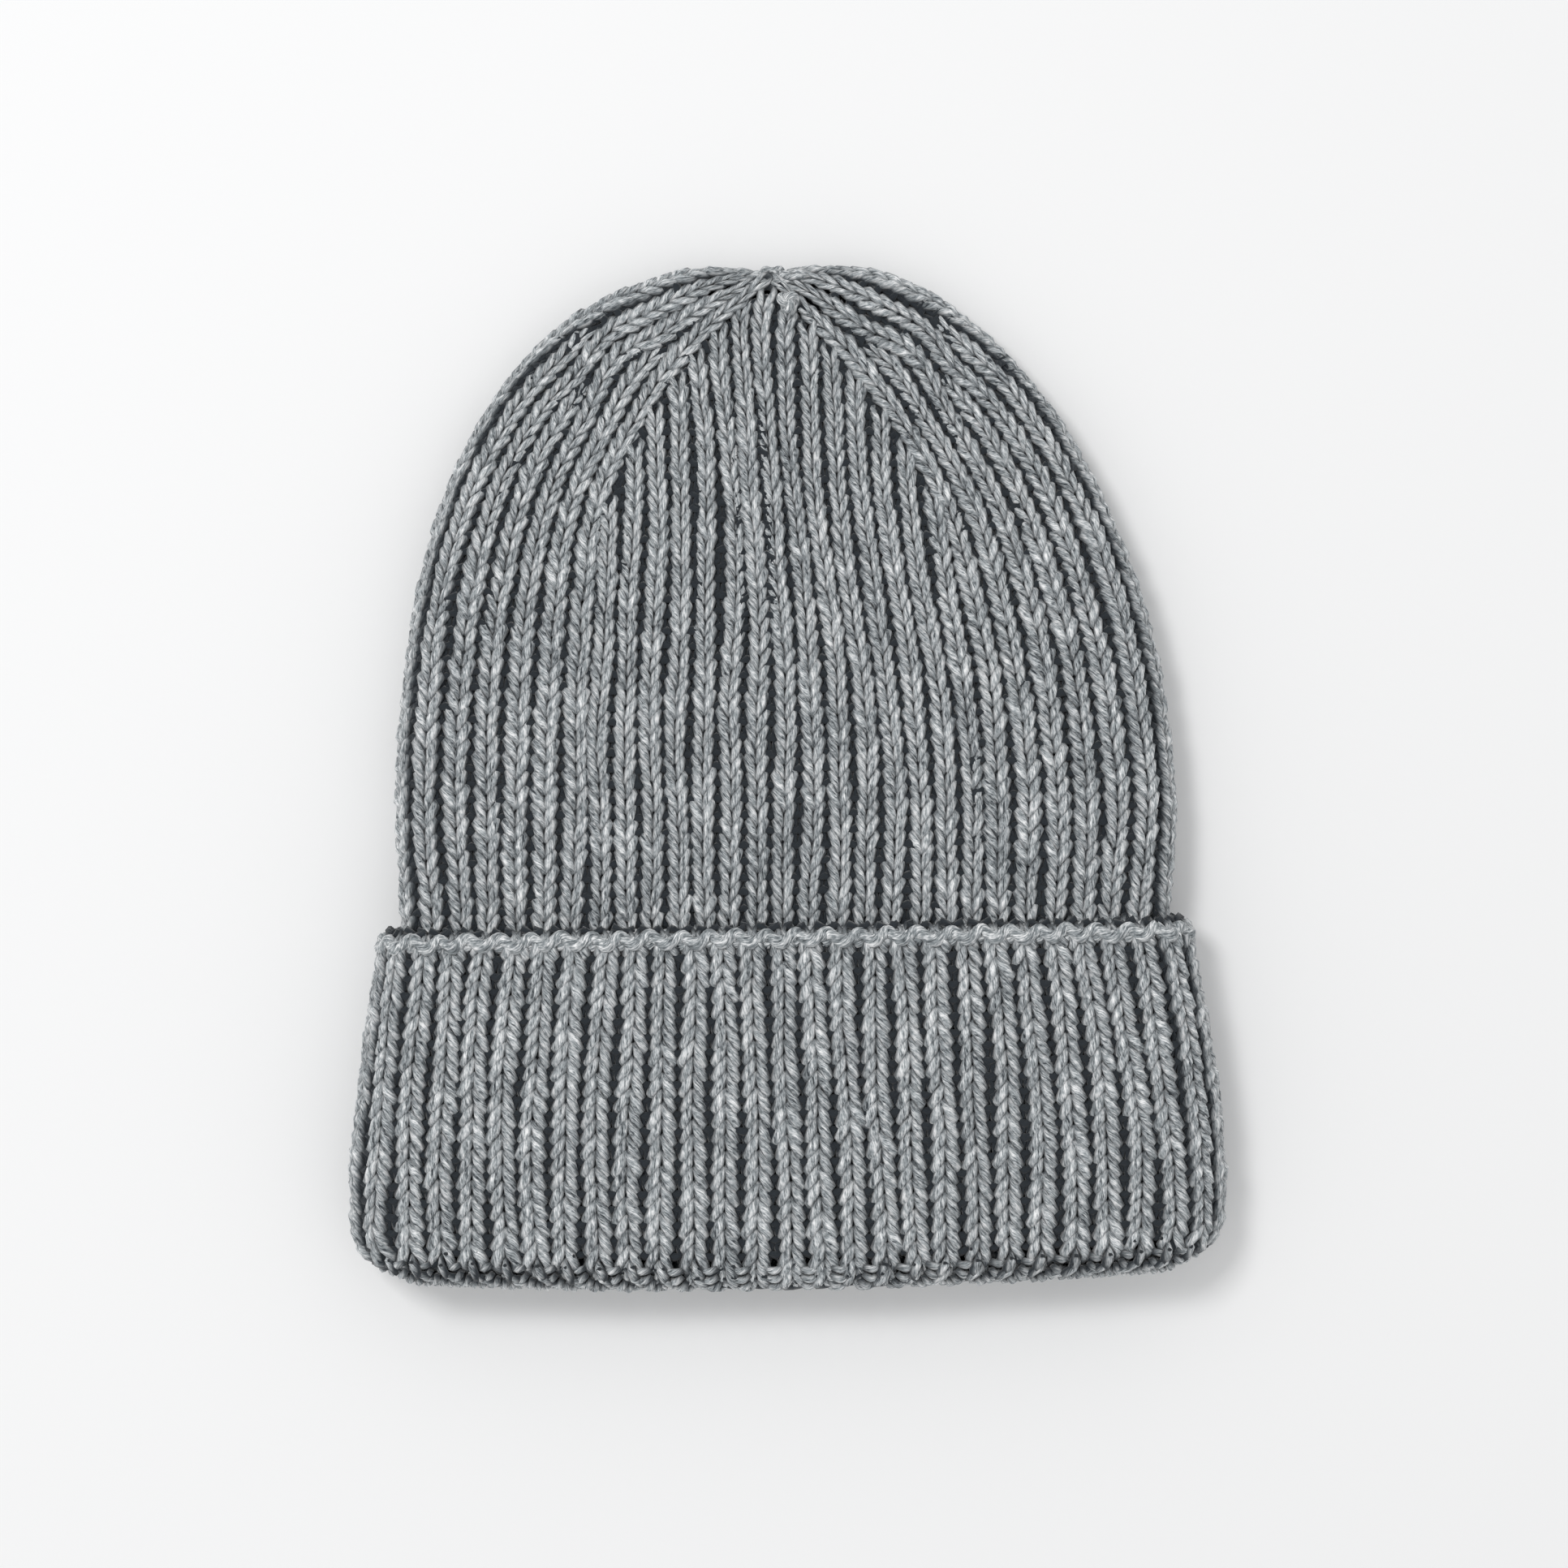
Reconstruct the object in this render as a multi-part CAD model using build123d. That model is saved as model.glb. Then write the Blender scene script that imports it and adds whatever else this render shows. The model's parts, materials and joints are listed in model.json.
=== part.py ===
"""A chunky rib-knit beanie lying flat, with a gathered crown and a turned-up cuff that folds down.

Millimetres. X runs across the hat, Y from the fold of the cuff to the crown's tip, and Z up from
the surface that the hat lies on. The origin is the middle of the hat's footprint on that surface.
"""

from build123d import *
from math import cos, pi, sin
import os

# --- sizes of the hat lying flat ---------------------------------------------------------------
hat_length = 244.0        # fold of the cuff to the tip of the crown
crown_width = 184.0       # widest part of the crown
band_width = 180.0        # knit body inside the cuff
cuff_width = 209.2        # widest part of the cuff, near its fold
cuff_edge_width = 194.0   # cuff at its cast-on edge
cuff_depth = 85.0         # fold to cast-on edge
cuff_straight = 27.0      # length of the cuff above the fold that keeps its full width

# --- fabric --------------------------------------------------------------------------------------
fabric = 5.0              # one layer of the rib
pocket = 7.0              # air between the front and back layers inside the band
clearance = 0.3           # between layers that move on each other
side_strip_start = 78.4   # the cuff's side strips reach this near to the hat's middle
panel_gap = 0.8           # between the cuff's panels and its side strips
side_lap = 1.6            # the band's front and back reach this far past the strips' near edges
side_fold_rise = 1.0      # the side folds sit this much higher than the front fold's edge

# --- crown ---------------------------------------------------------------------------------------
shoulder = 110.0          # fold to where the crown starts to narrow
crown_power = 0.4         # roundness of the crown's outline
crown_overrun = 1.0       # the outline would close this far past the tip
tip_thickness = 12.0      # both layers at the tip
tip_lift = 1.5            # underside of the tip above the surface
crown_lift = 0.1          # the crown's back just clears the surface
ring_count = 18           # outlines that the crown's faces run through
droop_length = 37.0       # the crown's back comes down to the surface over this length
flat_length = 152.0       # fold to where the crown's top starts to fall to the tip
hollow_end = 24.0         # the inside ends this far from the tip
gore_half_width = 46.0    # front gore at the cuff's edge
decrease_from_tip = 56.0  # tip to where the decrease lines start to run in
decrease_half_width = 36.5

# --- small pieces --------------------------------------------------------------------------------
edge_depth = 3.5          # cast-on edge
edge_round = 1.2
yarn_radius = 1.25
closing_ring_radius = 2.3
closing_recess_depth = 3.2
closing_slack = 0.15
knot_radius = 3.0
knot_across = 3.5         # from the hat's middle
knot_from_tip = 10.5
knot_proud = 1.0          # the knot's middle above the crown's face
seam_width = 4.0
seam_height = 1.2
label_width = 28.0
label_length = 30.0
label_ply = 0.5           # the label is folded, so it is two of these thick
label_from_fold = 16.0
stitch_length = 3.0
stitch_width = 0.6
stitch_height = 0.4
stitch_count = 6
stitch_inset = 1.0        # from the label's edge

# --- how far cutting shapes reach ----------------------------------------------------------------
overcut = 1.0             # past the faces that they cut

# --- levels and lines worked out from them -------------------------------------------------------
fold_y = -hat_length / 2
tip_y = hat_length / 2
cast_on_y = fold_y + cuff_depth
band_low = fabric + clearance
band_high = band_low + 2 * fabric + pocket
band_middle = (band_low + band_high) / 2
cuff_high_low = band_high + clearance
hat_thickness = cuff_high_low + fabric

roll_radius = fabric + clearance / 2
hinge_y = fold_y + roll_radius
front_hinge_z = band_high + clearance / 2
back_hinge_z = band_low - clearance / 2
side_roll_radius = (cuff_width / 2 - side_strip_start) / 2
side_hinge_x = side_strip_start + side_roll_radius
side_hinge_y = fold_y + side_roll_radius + side_fold_rise
panel_half_width = side_strip_start - panel_gap
turn_down_y = fold_y + cuff_straight
shoulder_y = fold_y + shoulder
split_x = side_strip_start + side_lap


def smooth_step(start, end, value):
    """0 before start, 1 after end, and a cosine in between."""
    share = min(max((value - start) / (end - start), 0.0), 1.0)
    return (1 - cos(pi * share)) / 2


def crown_half_width(y):
    """Half the crown's width: it swells from the band to the shoulder, then closes to the tip."""
    if y <= shoulder_y:
        return band_width / 2 + (crown_width - band_width) / 2 * smooth_step(cast_on_y, shoulder_y, y)
    share = (y - shoulder_y) / (tip_y + crown_overrun - shoulder_y)
    return crown_width / 2 * (1 - share**2) ** crown_power


def crown_top(y):
    """Height of the crown's upper face."""
    fall = band_high - tip_lift - tip_thickness
    return band_high - fall * smooth_step(fold_y + flat_length, tip_y, y)


def crown_underside(y):
    """Height of the crown's lower face: it comes down from the band, and lifts a little at the tip."""
    droop = band_low - (band_low - crown_lift) * smooth_step(cast_on_y, cast_on_y + droop_length, y)
    return droop + tip_lift * smooth_step(tip_y - hollow_end, tip_y, y)


def flattened_ring(y, half_width, low, high, inset=0.0):
    """The round-edged outline of the flattened tube at y, or the one that lies inset inside it."""
    plane = Plane(origin=(0, y, (low + high) / 2), x_dir=(1, 0, 0), z_dir=(0, -1, 0))
    return plane * SlotOverall(2 * (half_width - inset), high - low - 2 * inset)


def stations(start, end):
    """Places from start to end that come closer together towards the end."""
    last = ring_count - 1
    return [start + (end - start) * sin(pi / 2 * i / last) for i in range(ring_count)]


def crown_volume(end, inset=0.0):
    """The crown from the cuff's edge to end, or its inside where inset is the fabric."""
    rings = [
        flattened_ring(y, crown_half_width(y), crown_underside(y), crown_top(y), inset)
        for y in stations(cast_on_y, end)
    ]
    return loft(rings)


def band_volume(inset=0.0, start=hinge_y):
    """The straight tube inside the cuff from start to the cuff's edge, or its inside."""
    ring = flattened_ring(cast_on_y, band_width / 2, band_low, band_high, inset)
    return extrude(ring, amount=cast_on_y - start, dir=(0, -1, 0))


def prism(points, low, high):
    """A plan outline raised from low to high."""
    outline = make_face(Polyline(points, close=True))
    return Pos(0, 0, low) * extrude(outline, amount=high - low)


def block(x0, x1, y0, y1, z0, z1):
    """A box from its corners."""
    return Pos((x0 + x1) / 2, (y0 + y1) / 2, (z0 + z1) / 2) * Box(x1 - x0, y1 - y0, z1 - z0)


def roll_along_x(radius, z, half_length):
    """A cylinder along the fold at the front or back."""
    return Pos(0, hinge_y, z) * Rot(0, 90, 0) * Cylinder(radius, 2 * half_length)


def roll_upright(radius, side, low, high):
    """A cylinder at the fold of one side, -1 for the left and 1 for the right."""
    return Pos(side * side_hinge_x, side_hinge_y, (low + high) / 2) * Cylinder(radius, high - low)


def mirrored(solid, side):
    """The right-hand solid, or its mirror image for the left."""
    return solid if side > 0 else mirror(solid, about=Plane.YZ)


def folds():
    """The rounded fold along the bottom, in four rolls that the cuff's parts turn about."""
    mouth = band_volume(fabric, fold_y - clearance)
    right = roll_upright(side_roll_radius, 1, band_low, band_high) - mouth
    return {
        "fold_front": roll_along_x(roll_radius, front_hinge_z, panel_half_width),
        "fold_back": roll_along_x(roll_radius, back_hinge_z, panel_half_width),
        "fold_left": mirrored(right, -1),
        "fold_right": right,
    }


def band(rolls):
    """The knit body inside the cuff: front, back and the two edges that join them.

    Below the side hinges the front and back are only as wide as the cuff's panels, which leaves
    room for the side strips when they are turned down.
    """
    tube = band_volume() - band_volume(fabric)
    for roll in rolls.values():
        tube -= roll
    reach = hat_length
    body = block(-split_x, split_x, side_hinge_y, reach, -reach, reach)
    foot = block(-panel_half_width, panel_half_width, -reach, side_hinge_y, -reach, reach)
    middle = tube & (body + foot)
    front = middle & block(-reach, reach, -reach, reach, band_middle, reach)
    back = middle & block(-reach, reach, -reach, reach, -reach, band_middle)
    right = tube & block(split_x, reach, side_hinge_y, reach, -reach, reach)
    return {
        "band_front": front,
        "band_back": back,
        "band_left": mirrored(right, -1),
        "band_right": right,
    }


def crown():
    """The four gores, cut along the two decrease lines, with the recess for the closing yarn."""
    reach = hat_length
    shell = crown_volume(tip_y) - crown_volume(tip_y - hollow_end, fabric)
    recess_radius = closing_ring_radius + yarn_radius + closing_slack
    recess = Pos(0, tip_y - closing_recess_depth / 2, tip_middle()) * Rot(90, 0, 0)
    shell -= recess * Cylinder(recess_radius, closing_recess_depth)
    wedge = prism(
        [
            (-gore_half_width, cast_on_y - overcut),
            (gore_half_width, cast_on_y - overcut),
            (decrease_half_width, tip_y - decrease_from_tip),
            (0, tip_y + crown_overrun),
            (-decrease_half_width, tip_y - decrease_from_tip),
        ],
        -overcut,
        hat_thickness,
    )
    middle = shell & wedge
    sides = shell - wedge
    upper = upper_half()
    return {
        "crown_front_gore": middle & upper,
        "crown_back_gore": middle - upper,
        "crown_left_gore": sides & block(-reach, 0, -reach, reach, -reach, reach),
        "crown_right_gore": sides & block(0, reach, -reach, reach, -reach, reach),
    }


def tip_middle():
    """Height of the middle of the crown's tip."""
    return (crown_underside(tip_y) + crown_top(tip_y)) / 2


def upper_half():
    """The space above a plane that slopes between the crown's two layers, from the band to the tip."""
    corners = [
        (0, cast_on_y, band_middle),
        (0, tip_y, tip_middle()),
        (0, tip_y, hat_thickness),
        (0, cast_on_y, hat_thickness),
    ]
    outline = make_face(Polyline(corners, close=True))
    return extrude(outline, amount=crown_width / 2, dir=(1, 0, 0), both=True)


def cuff_outer(y):
    """Half the cuff's width at y."""
    share = min(max((y - turn_down_y) / (cast_on_y - turn_down_y), 0.0), 1.0)
    return cuff_width / 2 + (cuff_edge_width - cuff_width) / 2 * share


def cuff_panel(low, hinge_z):
    """One flat panel of the cuff, hollowed at its foot to turn round the fold."""
    width = panel_half_width
    panel = block(-width, width, hinge_y, cast_on_y - edge_depth, low, low + fabric)
    return panel - roll_along_x(roll_radius + clearance, hinge_z, cuff_width / 2)


def cast_on_bar(low):
    """The rounded cast-on edge of one panel."""
    width = panel_half_width
    bar = block(-width, width, cast_on_y - edge_depth, cast_on_y, low, low + fabric)
    return rounded_end(bar)


def rounded_end(bar):
    """A bar with its two long edges at the top of the cuff rounded."""
    return fillet(bar.edges().filter_by(Axis.X).group_by(Axis.Y)[-1], edge_round)


def side_outline(start, end):
    """Plan outline of the cuff's right-hand side strip between two distances along Y."""
    places = sorted({start, min(max(turn_down_y, start), end), end})
    outer = [(cuff_outer(y), y) for y in places]
    return outer + [(side_strip_start, places[-1]), (side_strip_start, places[0])]


def side_channel():
    """The space inside the side strips, which the band's edge lies in."""
    places = [side_hinge_y - side_roll_radius, turn_down_y, cast_on_y + overcut]
    outer = [(cuff_outer(y) - fabric, y) for y in places]
    return prism(outer + [(0, places[-1]), (0, places[0])], fabric, cuff_high_low)


def cuff_side(side):
    """The strip of the cuff that goes round one edge of the hat, open towards the middle."""
    body = prism(side_outline(side_hinge_y, cast_on_y - edge_depth), 0, hat_thickness)
    body += roll_upright(side_roll_radius, 1, 0, hat_thickness)
    body -= side_channel()
    body -= roll_upright(side_roll_radius + clearance, 1, fabric, cuff_high_low)
    return mirrored(body, side)


def side_cast_on(side):
    """The cast-on edge of one side strip."""
    bar = prism(side_outline(cast_on_y - edge_depth, cast_on_y), 0, hat_thickness)
    return mirrored(rounded_end(bar) - side_channel(), side)


def closing():
    """The drawn-up ring of closing yarn in the tip, and the knot beside it on the front."""
    ring_y = tip_y - closing_recess_depth + yarn_radius
    ring = Pos(0, ring_y, tip_middle()) * Rot(90, 0, 0) * Torus(closing_ring_radius, yarn_radius)
    knot_y = tip_y - knot_from_tip
    knot = Pos(knot_across, knot_y, crown_top(knot_y) + knot_proud) * Sphere(knot_radius)
    return {"closing_yarn": ring, "closing_knot": knot}


def seam():
    """The linked seam, a low ridge along the inside of the back, from the fold to the end of the hollow."""
    inside = band_volume(fabric) + crown_volume(tip_y - hollow_end, fabric)
    first = hinge_y + roll_radius + clearance
    last = tip_y - hollow_end - overcut
    strip = block(-seam_width / 2, seam_width / 2, first, last, -overcut, hat_thickness)
    ridge = (inside & strip) - Pos(0, 0, seam_height) * inside
    return {"back_seam": ridge}


def label():
    """The folded care label beside the seam, and the stitches that hold it."""
    floor = band_low + fabric
    x0 = seam_width / 2 + clearance
    y0 = fold_y + label_from_fold
    top = floor + 2 * label_ply
    ribbon = block(x0, x0 + label_width, y0, y0 + label_length, floor, top)
    pitch = label_length / stitch_count
    stitches = [
        block(
            x0 + stitch_inset,
            x0 + stitch_inset + stitch_width,
            y0 + pitch * (i + 0.5) - stitch_length / 2,
            y0 + pitch * (i + 0.5) + stitch_length / 2,
            top,
            top + stitch_height,
        )
        for i in range(stitch_count)
    ]
    return {"care_label": ribbon, "label_thread": Compound(children=stitches)}


def cuff():
    """The turned-up cuff in four panels, each with its stretch of the cast-on edge."""
    return {
        "cuff_front": cuff_panel(cuff_high_low, front_hinge_z),
        "cuff_front_cast_on": cast_on_bar(cuff_high_low),
        "cuff_back": cuff_panel(0, back_hinge_z),
        "cuff_back_cast_on": cast_on_bar(0),
        "cuff_left": cuff_side(-1),
        "cuff_left_cast_on": side_cast_on(-1),
        "cuff_right": cuff_side(1),
        "cuff_right_cast_on": side_cast_on(1),
    }


def build():
    """Every node of the hat by name."""
    rolls = folds()
    return {**crown(), **band(rolls), **rolls, **cuff(), **closing(), **seam(), **label()}


os.makedirs("parts", exist_ok=True)
for name, solid in build().items():
    export_step(solid, f"parts/{name}.step")
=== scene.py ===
"""A chunky rib-knit beanie lying flat, made from its own stitches.

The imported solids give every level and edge. Each zone of the knit (crown gores, band, folds and
cuff panels) is a field of knitted loops laid along its ribs by one Geometry Nodes tree. The small
pieces (cast-on edge, closing yarn and knot, back seam, care label) are swept or folded by hand.
Sizes inside the classes are millimetres; meshes are metres.
"""

import json
import logging
import math
from dataclasses import dataclass, field
from enum import IntEnum
from typing import Callable, Sequence

import bpy
import numpy as np
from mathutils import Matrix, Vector

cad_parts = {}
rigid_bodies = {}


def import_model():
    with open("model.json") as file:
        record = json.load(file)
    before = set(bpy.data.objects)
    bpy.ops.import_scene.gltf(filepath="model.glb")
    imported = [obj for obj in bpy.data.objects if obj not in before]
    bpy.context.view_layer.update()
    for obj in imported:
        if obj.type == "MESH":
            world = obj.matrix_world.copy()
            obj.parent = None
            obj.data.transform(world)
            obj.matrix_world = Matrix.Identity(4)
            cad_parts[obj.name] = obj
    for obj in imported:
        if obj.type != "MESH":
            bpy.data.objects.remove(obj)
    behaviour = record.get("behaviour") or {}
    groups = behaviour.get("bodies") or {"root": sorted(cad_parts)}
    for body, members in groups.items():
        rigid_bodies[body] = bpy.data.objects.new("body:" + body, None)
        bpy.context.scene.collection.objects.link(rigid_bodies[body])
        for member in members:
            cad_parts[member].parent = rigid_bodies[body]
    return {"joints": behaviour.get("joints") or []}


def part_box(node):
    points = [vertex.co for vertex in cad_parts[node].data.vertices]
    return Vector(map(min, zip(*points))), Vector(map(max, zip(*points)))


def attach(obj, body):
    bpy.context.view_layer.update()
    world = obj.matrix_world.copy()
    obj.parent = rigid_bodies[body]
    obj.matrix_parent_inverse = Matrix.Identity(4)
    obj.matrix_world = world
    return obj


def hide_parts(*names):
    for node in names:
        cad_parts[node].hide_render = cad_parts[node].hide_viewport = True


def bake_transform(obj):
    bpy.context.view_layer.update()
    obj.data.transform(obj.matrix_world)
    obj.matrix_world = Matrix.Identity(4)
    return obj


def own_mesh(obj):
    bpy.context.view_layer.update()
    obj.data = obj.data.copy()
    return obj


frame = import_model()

LOG = logging.getLogger("beanie")
MM = 0.001
FULL_TURN = 2 * math.pi


# --- lines and meshes ----------------------------------------------------------------------------

def smooth_step(t: np.ndarray | float) -> np.ndarray | float:
    """Ease from 0 to 1, flat at both ends."""
    t = np.clip(t, 0.0, 1.0)
    return t * t * (3 - 2 * t)


def unit(v: np.ndarray) -> np.ndarray:
    """Scale each row to length 1."""
    return v / np.maximum(np.linalg.norm(v, axis=-1, keepdims=True), 1e-9)


def lengths(line: np.ndarray) -> np.ndarray:
    """Give the length along a line at each of its points."""
    return np.concatenate([[0.0], np.cumsum(np.linalg.norm(np.diff(line, axis=0), axis=1))])


def read_at(rows: np.ndarray, steps: np.ndarray, at: np.ndarray) -> np.ndarray:
    """Read rows that belong to some lengths at other lengths."""
    return np.stack([np.interp(at, steps, column) for column in rows.T], axis=1)


def spread(points: np.ndarray, count: int) -> np.ndarray:
    """Place so many points at even steps along a line, the first and last on its ends."""
    steps = lengths(points)
    return read_at(points, steps, np.linspace(0.0, steps[-1], count))


def eased(points: Sequence[Sequence[float]], count: int, rounds: int) -> np.ndarray:
    """Draw a soft curve near a few corners.

    Args:
        points: The corners.
        count: How many points come back.
        rounds: How many times each point moves to the middle of its neighbours.

    Returns:
        Points at even steps, with the two ends kept.
    """
    line = spread(np.array(points, float), count)
    for _ in range(rounds):
        line[1:-1] = (line[:-2] + 2 * line[1:-1] + line[2:]) / 4
    return spread(line, count)


def tube(line: np.ndarray, radius: np.ndarray | float,
         sides: int) -> tuple[np.ndarray, list, np.ndarray]:
    """Sweep a round yarn along a line and close both ends.

    Args:
        line: Centre points in order.
        radius: Radius at each point, or one for all.
        sides: Flats round the yarn.

    Returns:
        Vertices, faces, and each vertex's (length along, share round).
    """
    count = len(line)
    radius = np.broadcast_to(radius, count)
    ahead = unit(np.gradient(line, axis=0))
    side = np.cross(ahead[0], [0.0, 0.0, 1.0])
    if np.linalg.norm(side) < 0.1:
        side = np.cross(ahead[0], [1.0, 0.0, 0.0])
    share = np.arange(sides) / sides
    cos, sin = np.cos(FULL_TURN * share)[:, None], np.sin(FULL_TURN * share)[:, None]
    rings, marks = [], []
    for k, along in enumerate(lengths(line)):
        side = unit(side - ahead[k] * float(side @ ahead[k]))
        rings.append(line[k] + radius[k] * (cos * side + sin * np.cross(ahead[k], side)))
        marks.append(np.stack([np.full(sides, along), share], axis=1))
    faces: list = []
    for k in range(count - 1):
        for s in range(sides):
            n = (s + 1) % sides
            faces.append((k * sides + s, k * sides + n, (k + 1) * sides + n, (k + 1) * sides + s))
    faces.append(tuple(range(sides))[::-1])
    faces.append(tuple(range((count - 1) * sides, count * sides)))
    return np.concatenate(rings), faces, np.concatenate(marks)


def note(mesh: bpy.types.Mesh, label: str, values: np.ndarray, kind: str = "FLOAT") -> None:
    """Store an attribute on the points of a mesh."""
    kept = np.int32 if kind == "INT" else np.float32
    prop = "vector" if kind == "FLOAT_VECTOR" else "value"
    mesh.attributes.new(label, kind, "POINT").data.foreach_set(prop, values.astype(kept).ravel())


def smooth(mesh: bpy.types.Mesh) -> None:
    """Shade every face smooth."""
    mesh.polygons.foreach_set("use_smooth", np.ones(len(mesh.polygons), bool))


def stand(name: str, data: bpy.types.ID) -> bpy.types.Object:
    """Put new data in the scene as an object."""
    made = bpy.data.objects.new(name, data)
    bpy.context.scene.collection.objects.link(made)
    return made


def yarn_mesh(name: str, tubes: Sequence[tuple[np.ndarray, list, np.ndarray]],
              lift: np.ndarray | None = None) -> bpy.types.Mesh:
    """Join swept yarns in one mesh with a UV map along the yarn.

    Args:
        name: The mesh's name.
        tubes: What tube() gave for each yarn.
        lift: How far out of the fabric each vertex lies, from 0 to 1. The yarn's material
        turns it into painted shade where it is low.

    Returns:
        The mesh. Its UV map holds millimetres along the yarn and the share round it.
    """
    faces, start = [], 0
    for points, quads, _ in tubes:
        faces += [tuple(start + i for i in f) for f in quads]
        start += len(points)
    mesh = bpy.data.meshes.new(name)
    mesh.from_pydata((np.concatenate([t[0] for t in tubes]) * MM).tolist(), [], faces)
    corners = np.zeros(len(mesh.loops), np.int32)
    mesh.loops.foreach_get("vertex_index", corners)
    uv = np.concatenate([t[2] for t in tubes])[corners]
    starts = np.zeros(len(mesh.polygons), np.int32)
    mesh.polygons.foreach_get("loop_start", starts)
    for first in starts:        # a face that closes the round would run backwards without this
        around = uv[first:first + 4, 1]
        if around.max() - around.min() > 0.5:
            around[around < 0.5] += 1.0
    mesh.uv_layers.new(name="yarn").data.foreach_set("uv", uv.astype(np.float32).ravel())
    note(mesh, "lift", np.ones(start) if lift is None else lift)
    smooth(mesh)
    mesh.update()
    return mesh


# --- nodes ---------------------------------------------------------------------------------------

def linear(code: str) -> tuple[float, float, float, float]:
    """Turn an sRGB hex colour into linear RGBA."""
    parts = [int(code[i:i + 2], 16) / 255 for i in (0, 2, 4)]
    r, g, b = (c / 12.92 if c <= 0.04045 else ((c + 0.055) / 1.055) ** 2.4 for c in parts)
    return r, g, b, 1.0


def add(tree: bpy.types.NodeTree, kind: str, settings: dict | None = None,
        **inputs: object) -> bpy.types.Node:
    """Add a node with its settings, values and links.

    Args:
        tree: The tree that gets the node.
        kind: The node's type name.
        settings: The node's own properties, and "in" for inputs given by place in a dict.
        inputs: Input sockets by name, spaces as underscores, each a value or a socket to link.

    Returns:
        The new node.
    """
    node = tree.nodes.new(kind)
    named = {k.replace("_", " "): v for k, v in inputs.items()}
    for key, value in (settings or {}).items():
        if key == "in":
            named.update(value)
        else:
            setattr(node, key, value)
    for key, value in named.items():
        socket = node.inputs[key]
        if isinstance(value, bpy.types.NodeSocket):
            tree.links.new(value, socket)
        else:
            socket.default_value = value
    return node


def reckon(tree: bpy.types.NodeTree, operation: str, *terms: object) -> bpy.types.NodeSocket:
    """Add a Math node on values or sockets and give its result."""
    made = add(tree, "ShaderNodeMath", {"operation": operation, "in": dict(enumerate(terms))})
    return made.outputs[0]


def weigh(tree: bpy.types.NodeTree, start: float, *terms: tuple) -> bpy.types.NodeSocket:
    """Add up (socket, weight) pairs from a starting value."""
    total: object = start
    for socket, weight in terms:
        total = reckon(tree, "MULTIPLY_ADD", socket, weight, total)
    return total


def noise(tree: bpy.types.NodeTree, at: bpy.types.NodeSocket, scale: float,
          detail: float = 2.0, roughness: float = 0.5) -> bpy.types.NodeSocket:
    """Add noise and give its value."""
    return add(tree, "ShaderNodeTexNoise", Vector=at, Scale=scale, Detail=detail,
               Roughness=roughness).outputs["Fac"]


def ramp(tree: bpy.types.NodeTree, value: bpy.types.NodeSocket,
         *stops: tuple[float, str]) -> bpy.types.NodeSocket:
    """Colour a value.

    Args:
        tree: The material's tree.
        value: What picks the colour.
        stops: Places and hex colours, two or more, in order.

    Returns:
        The colour.
    """
    made = add(tree, "ShaderNodeValToRGB", Fac=value)
    places = made.color_ramp.elements
    low, *between, high = stops
    for element, (place, code) in zip(places, (low, high)):
        element.position, element.color = place, linear(code)
    for place, code in between:
        places.new(place).color = linear(code)
    return made.outputs[0]


def along_yarn(tree: bpy.types.NodeTree) -> tuple[bpy.types.NodeSocket, bpy.types.NodeSocket]:
    """Give the millimetres along the yarn and the share round it."""
    uv = add(tree, "ShaderNodeUVMap", {"uv_map": "yarn"})
    parts = add(tree, "ShaderNodeSeparateXYZ", Vector=uv.outputs[0])
    return parts.outputs[0], parts.outputs[1]


def coat(name: str, draw: Callable[[bpy.types.NodeTree], tuple]) -> bpy.types.Material:
    """Make a material from its drawing.

    Args:
        name: The material's name.
        draw: Takes the empty tree and gives the bump's strength, depth and height, and the
            surface's inputs.

    Returns:
        The material.
    """
    made = bpy.data.materials.new(name)
    made.use_nodes = True
    tree = made.node_tree
    tree.nodes.clear()
    strength, depth, height, inputs = draw(tree)
    bump = add(tree, "ShaderNodeBump", Strength=strength, Distance=depth * MM, Height=height)
    skin = add(tree, "ShaderNodeBsdfPrincipled", Normal=bump.outputs[0], **inputs)
    add(tree, "ShaderNodeOutputMaterial", Surface=skin.outputs[0])
    return made


# --- finishes ------------------------------------------------------------------------------------

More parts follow.
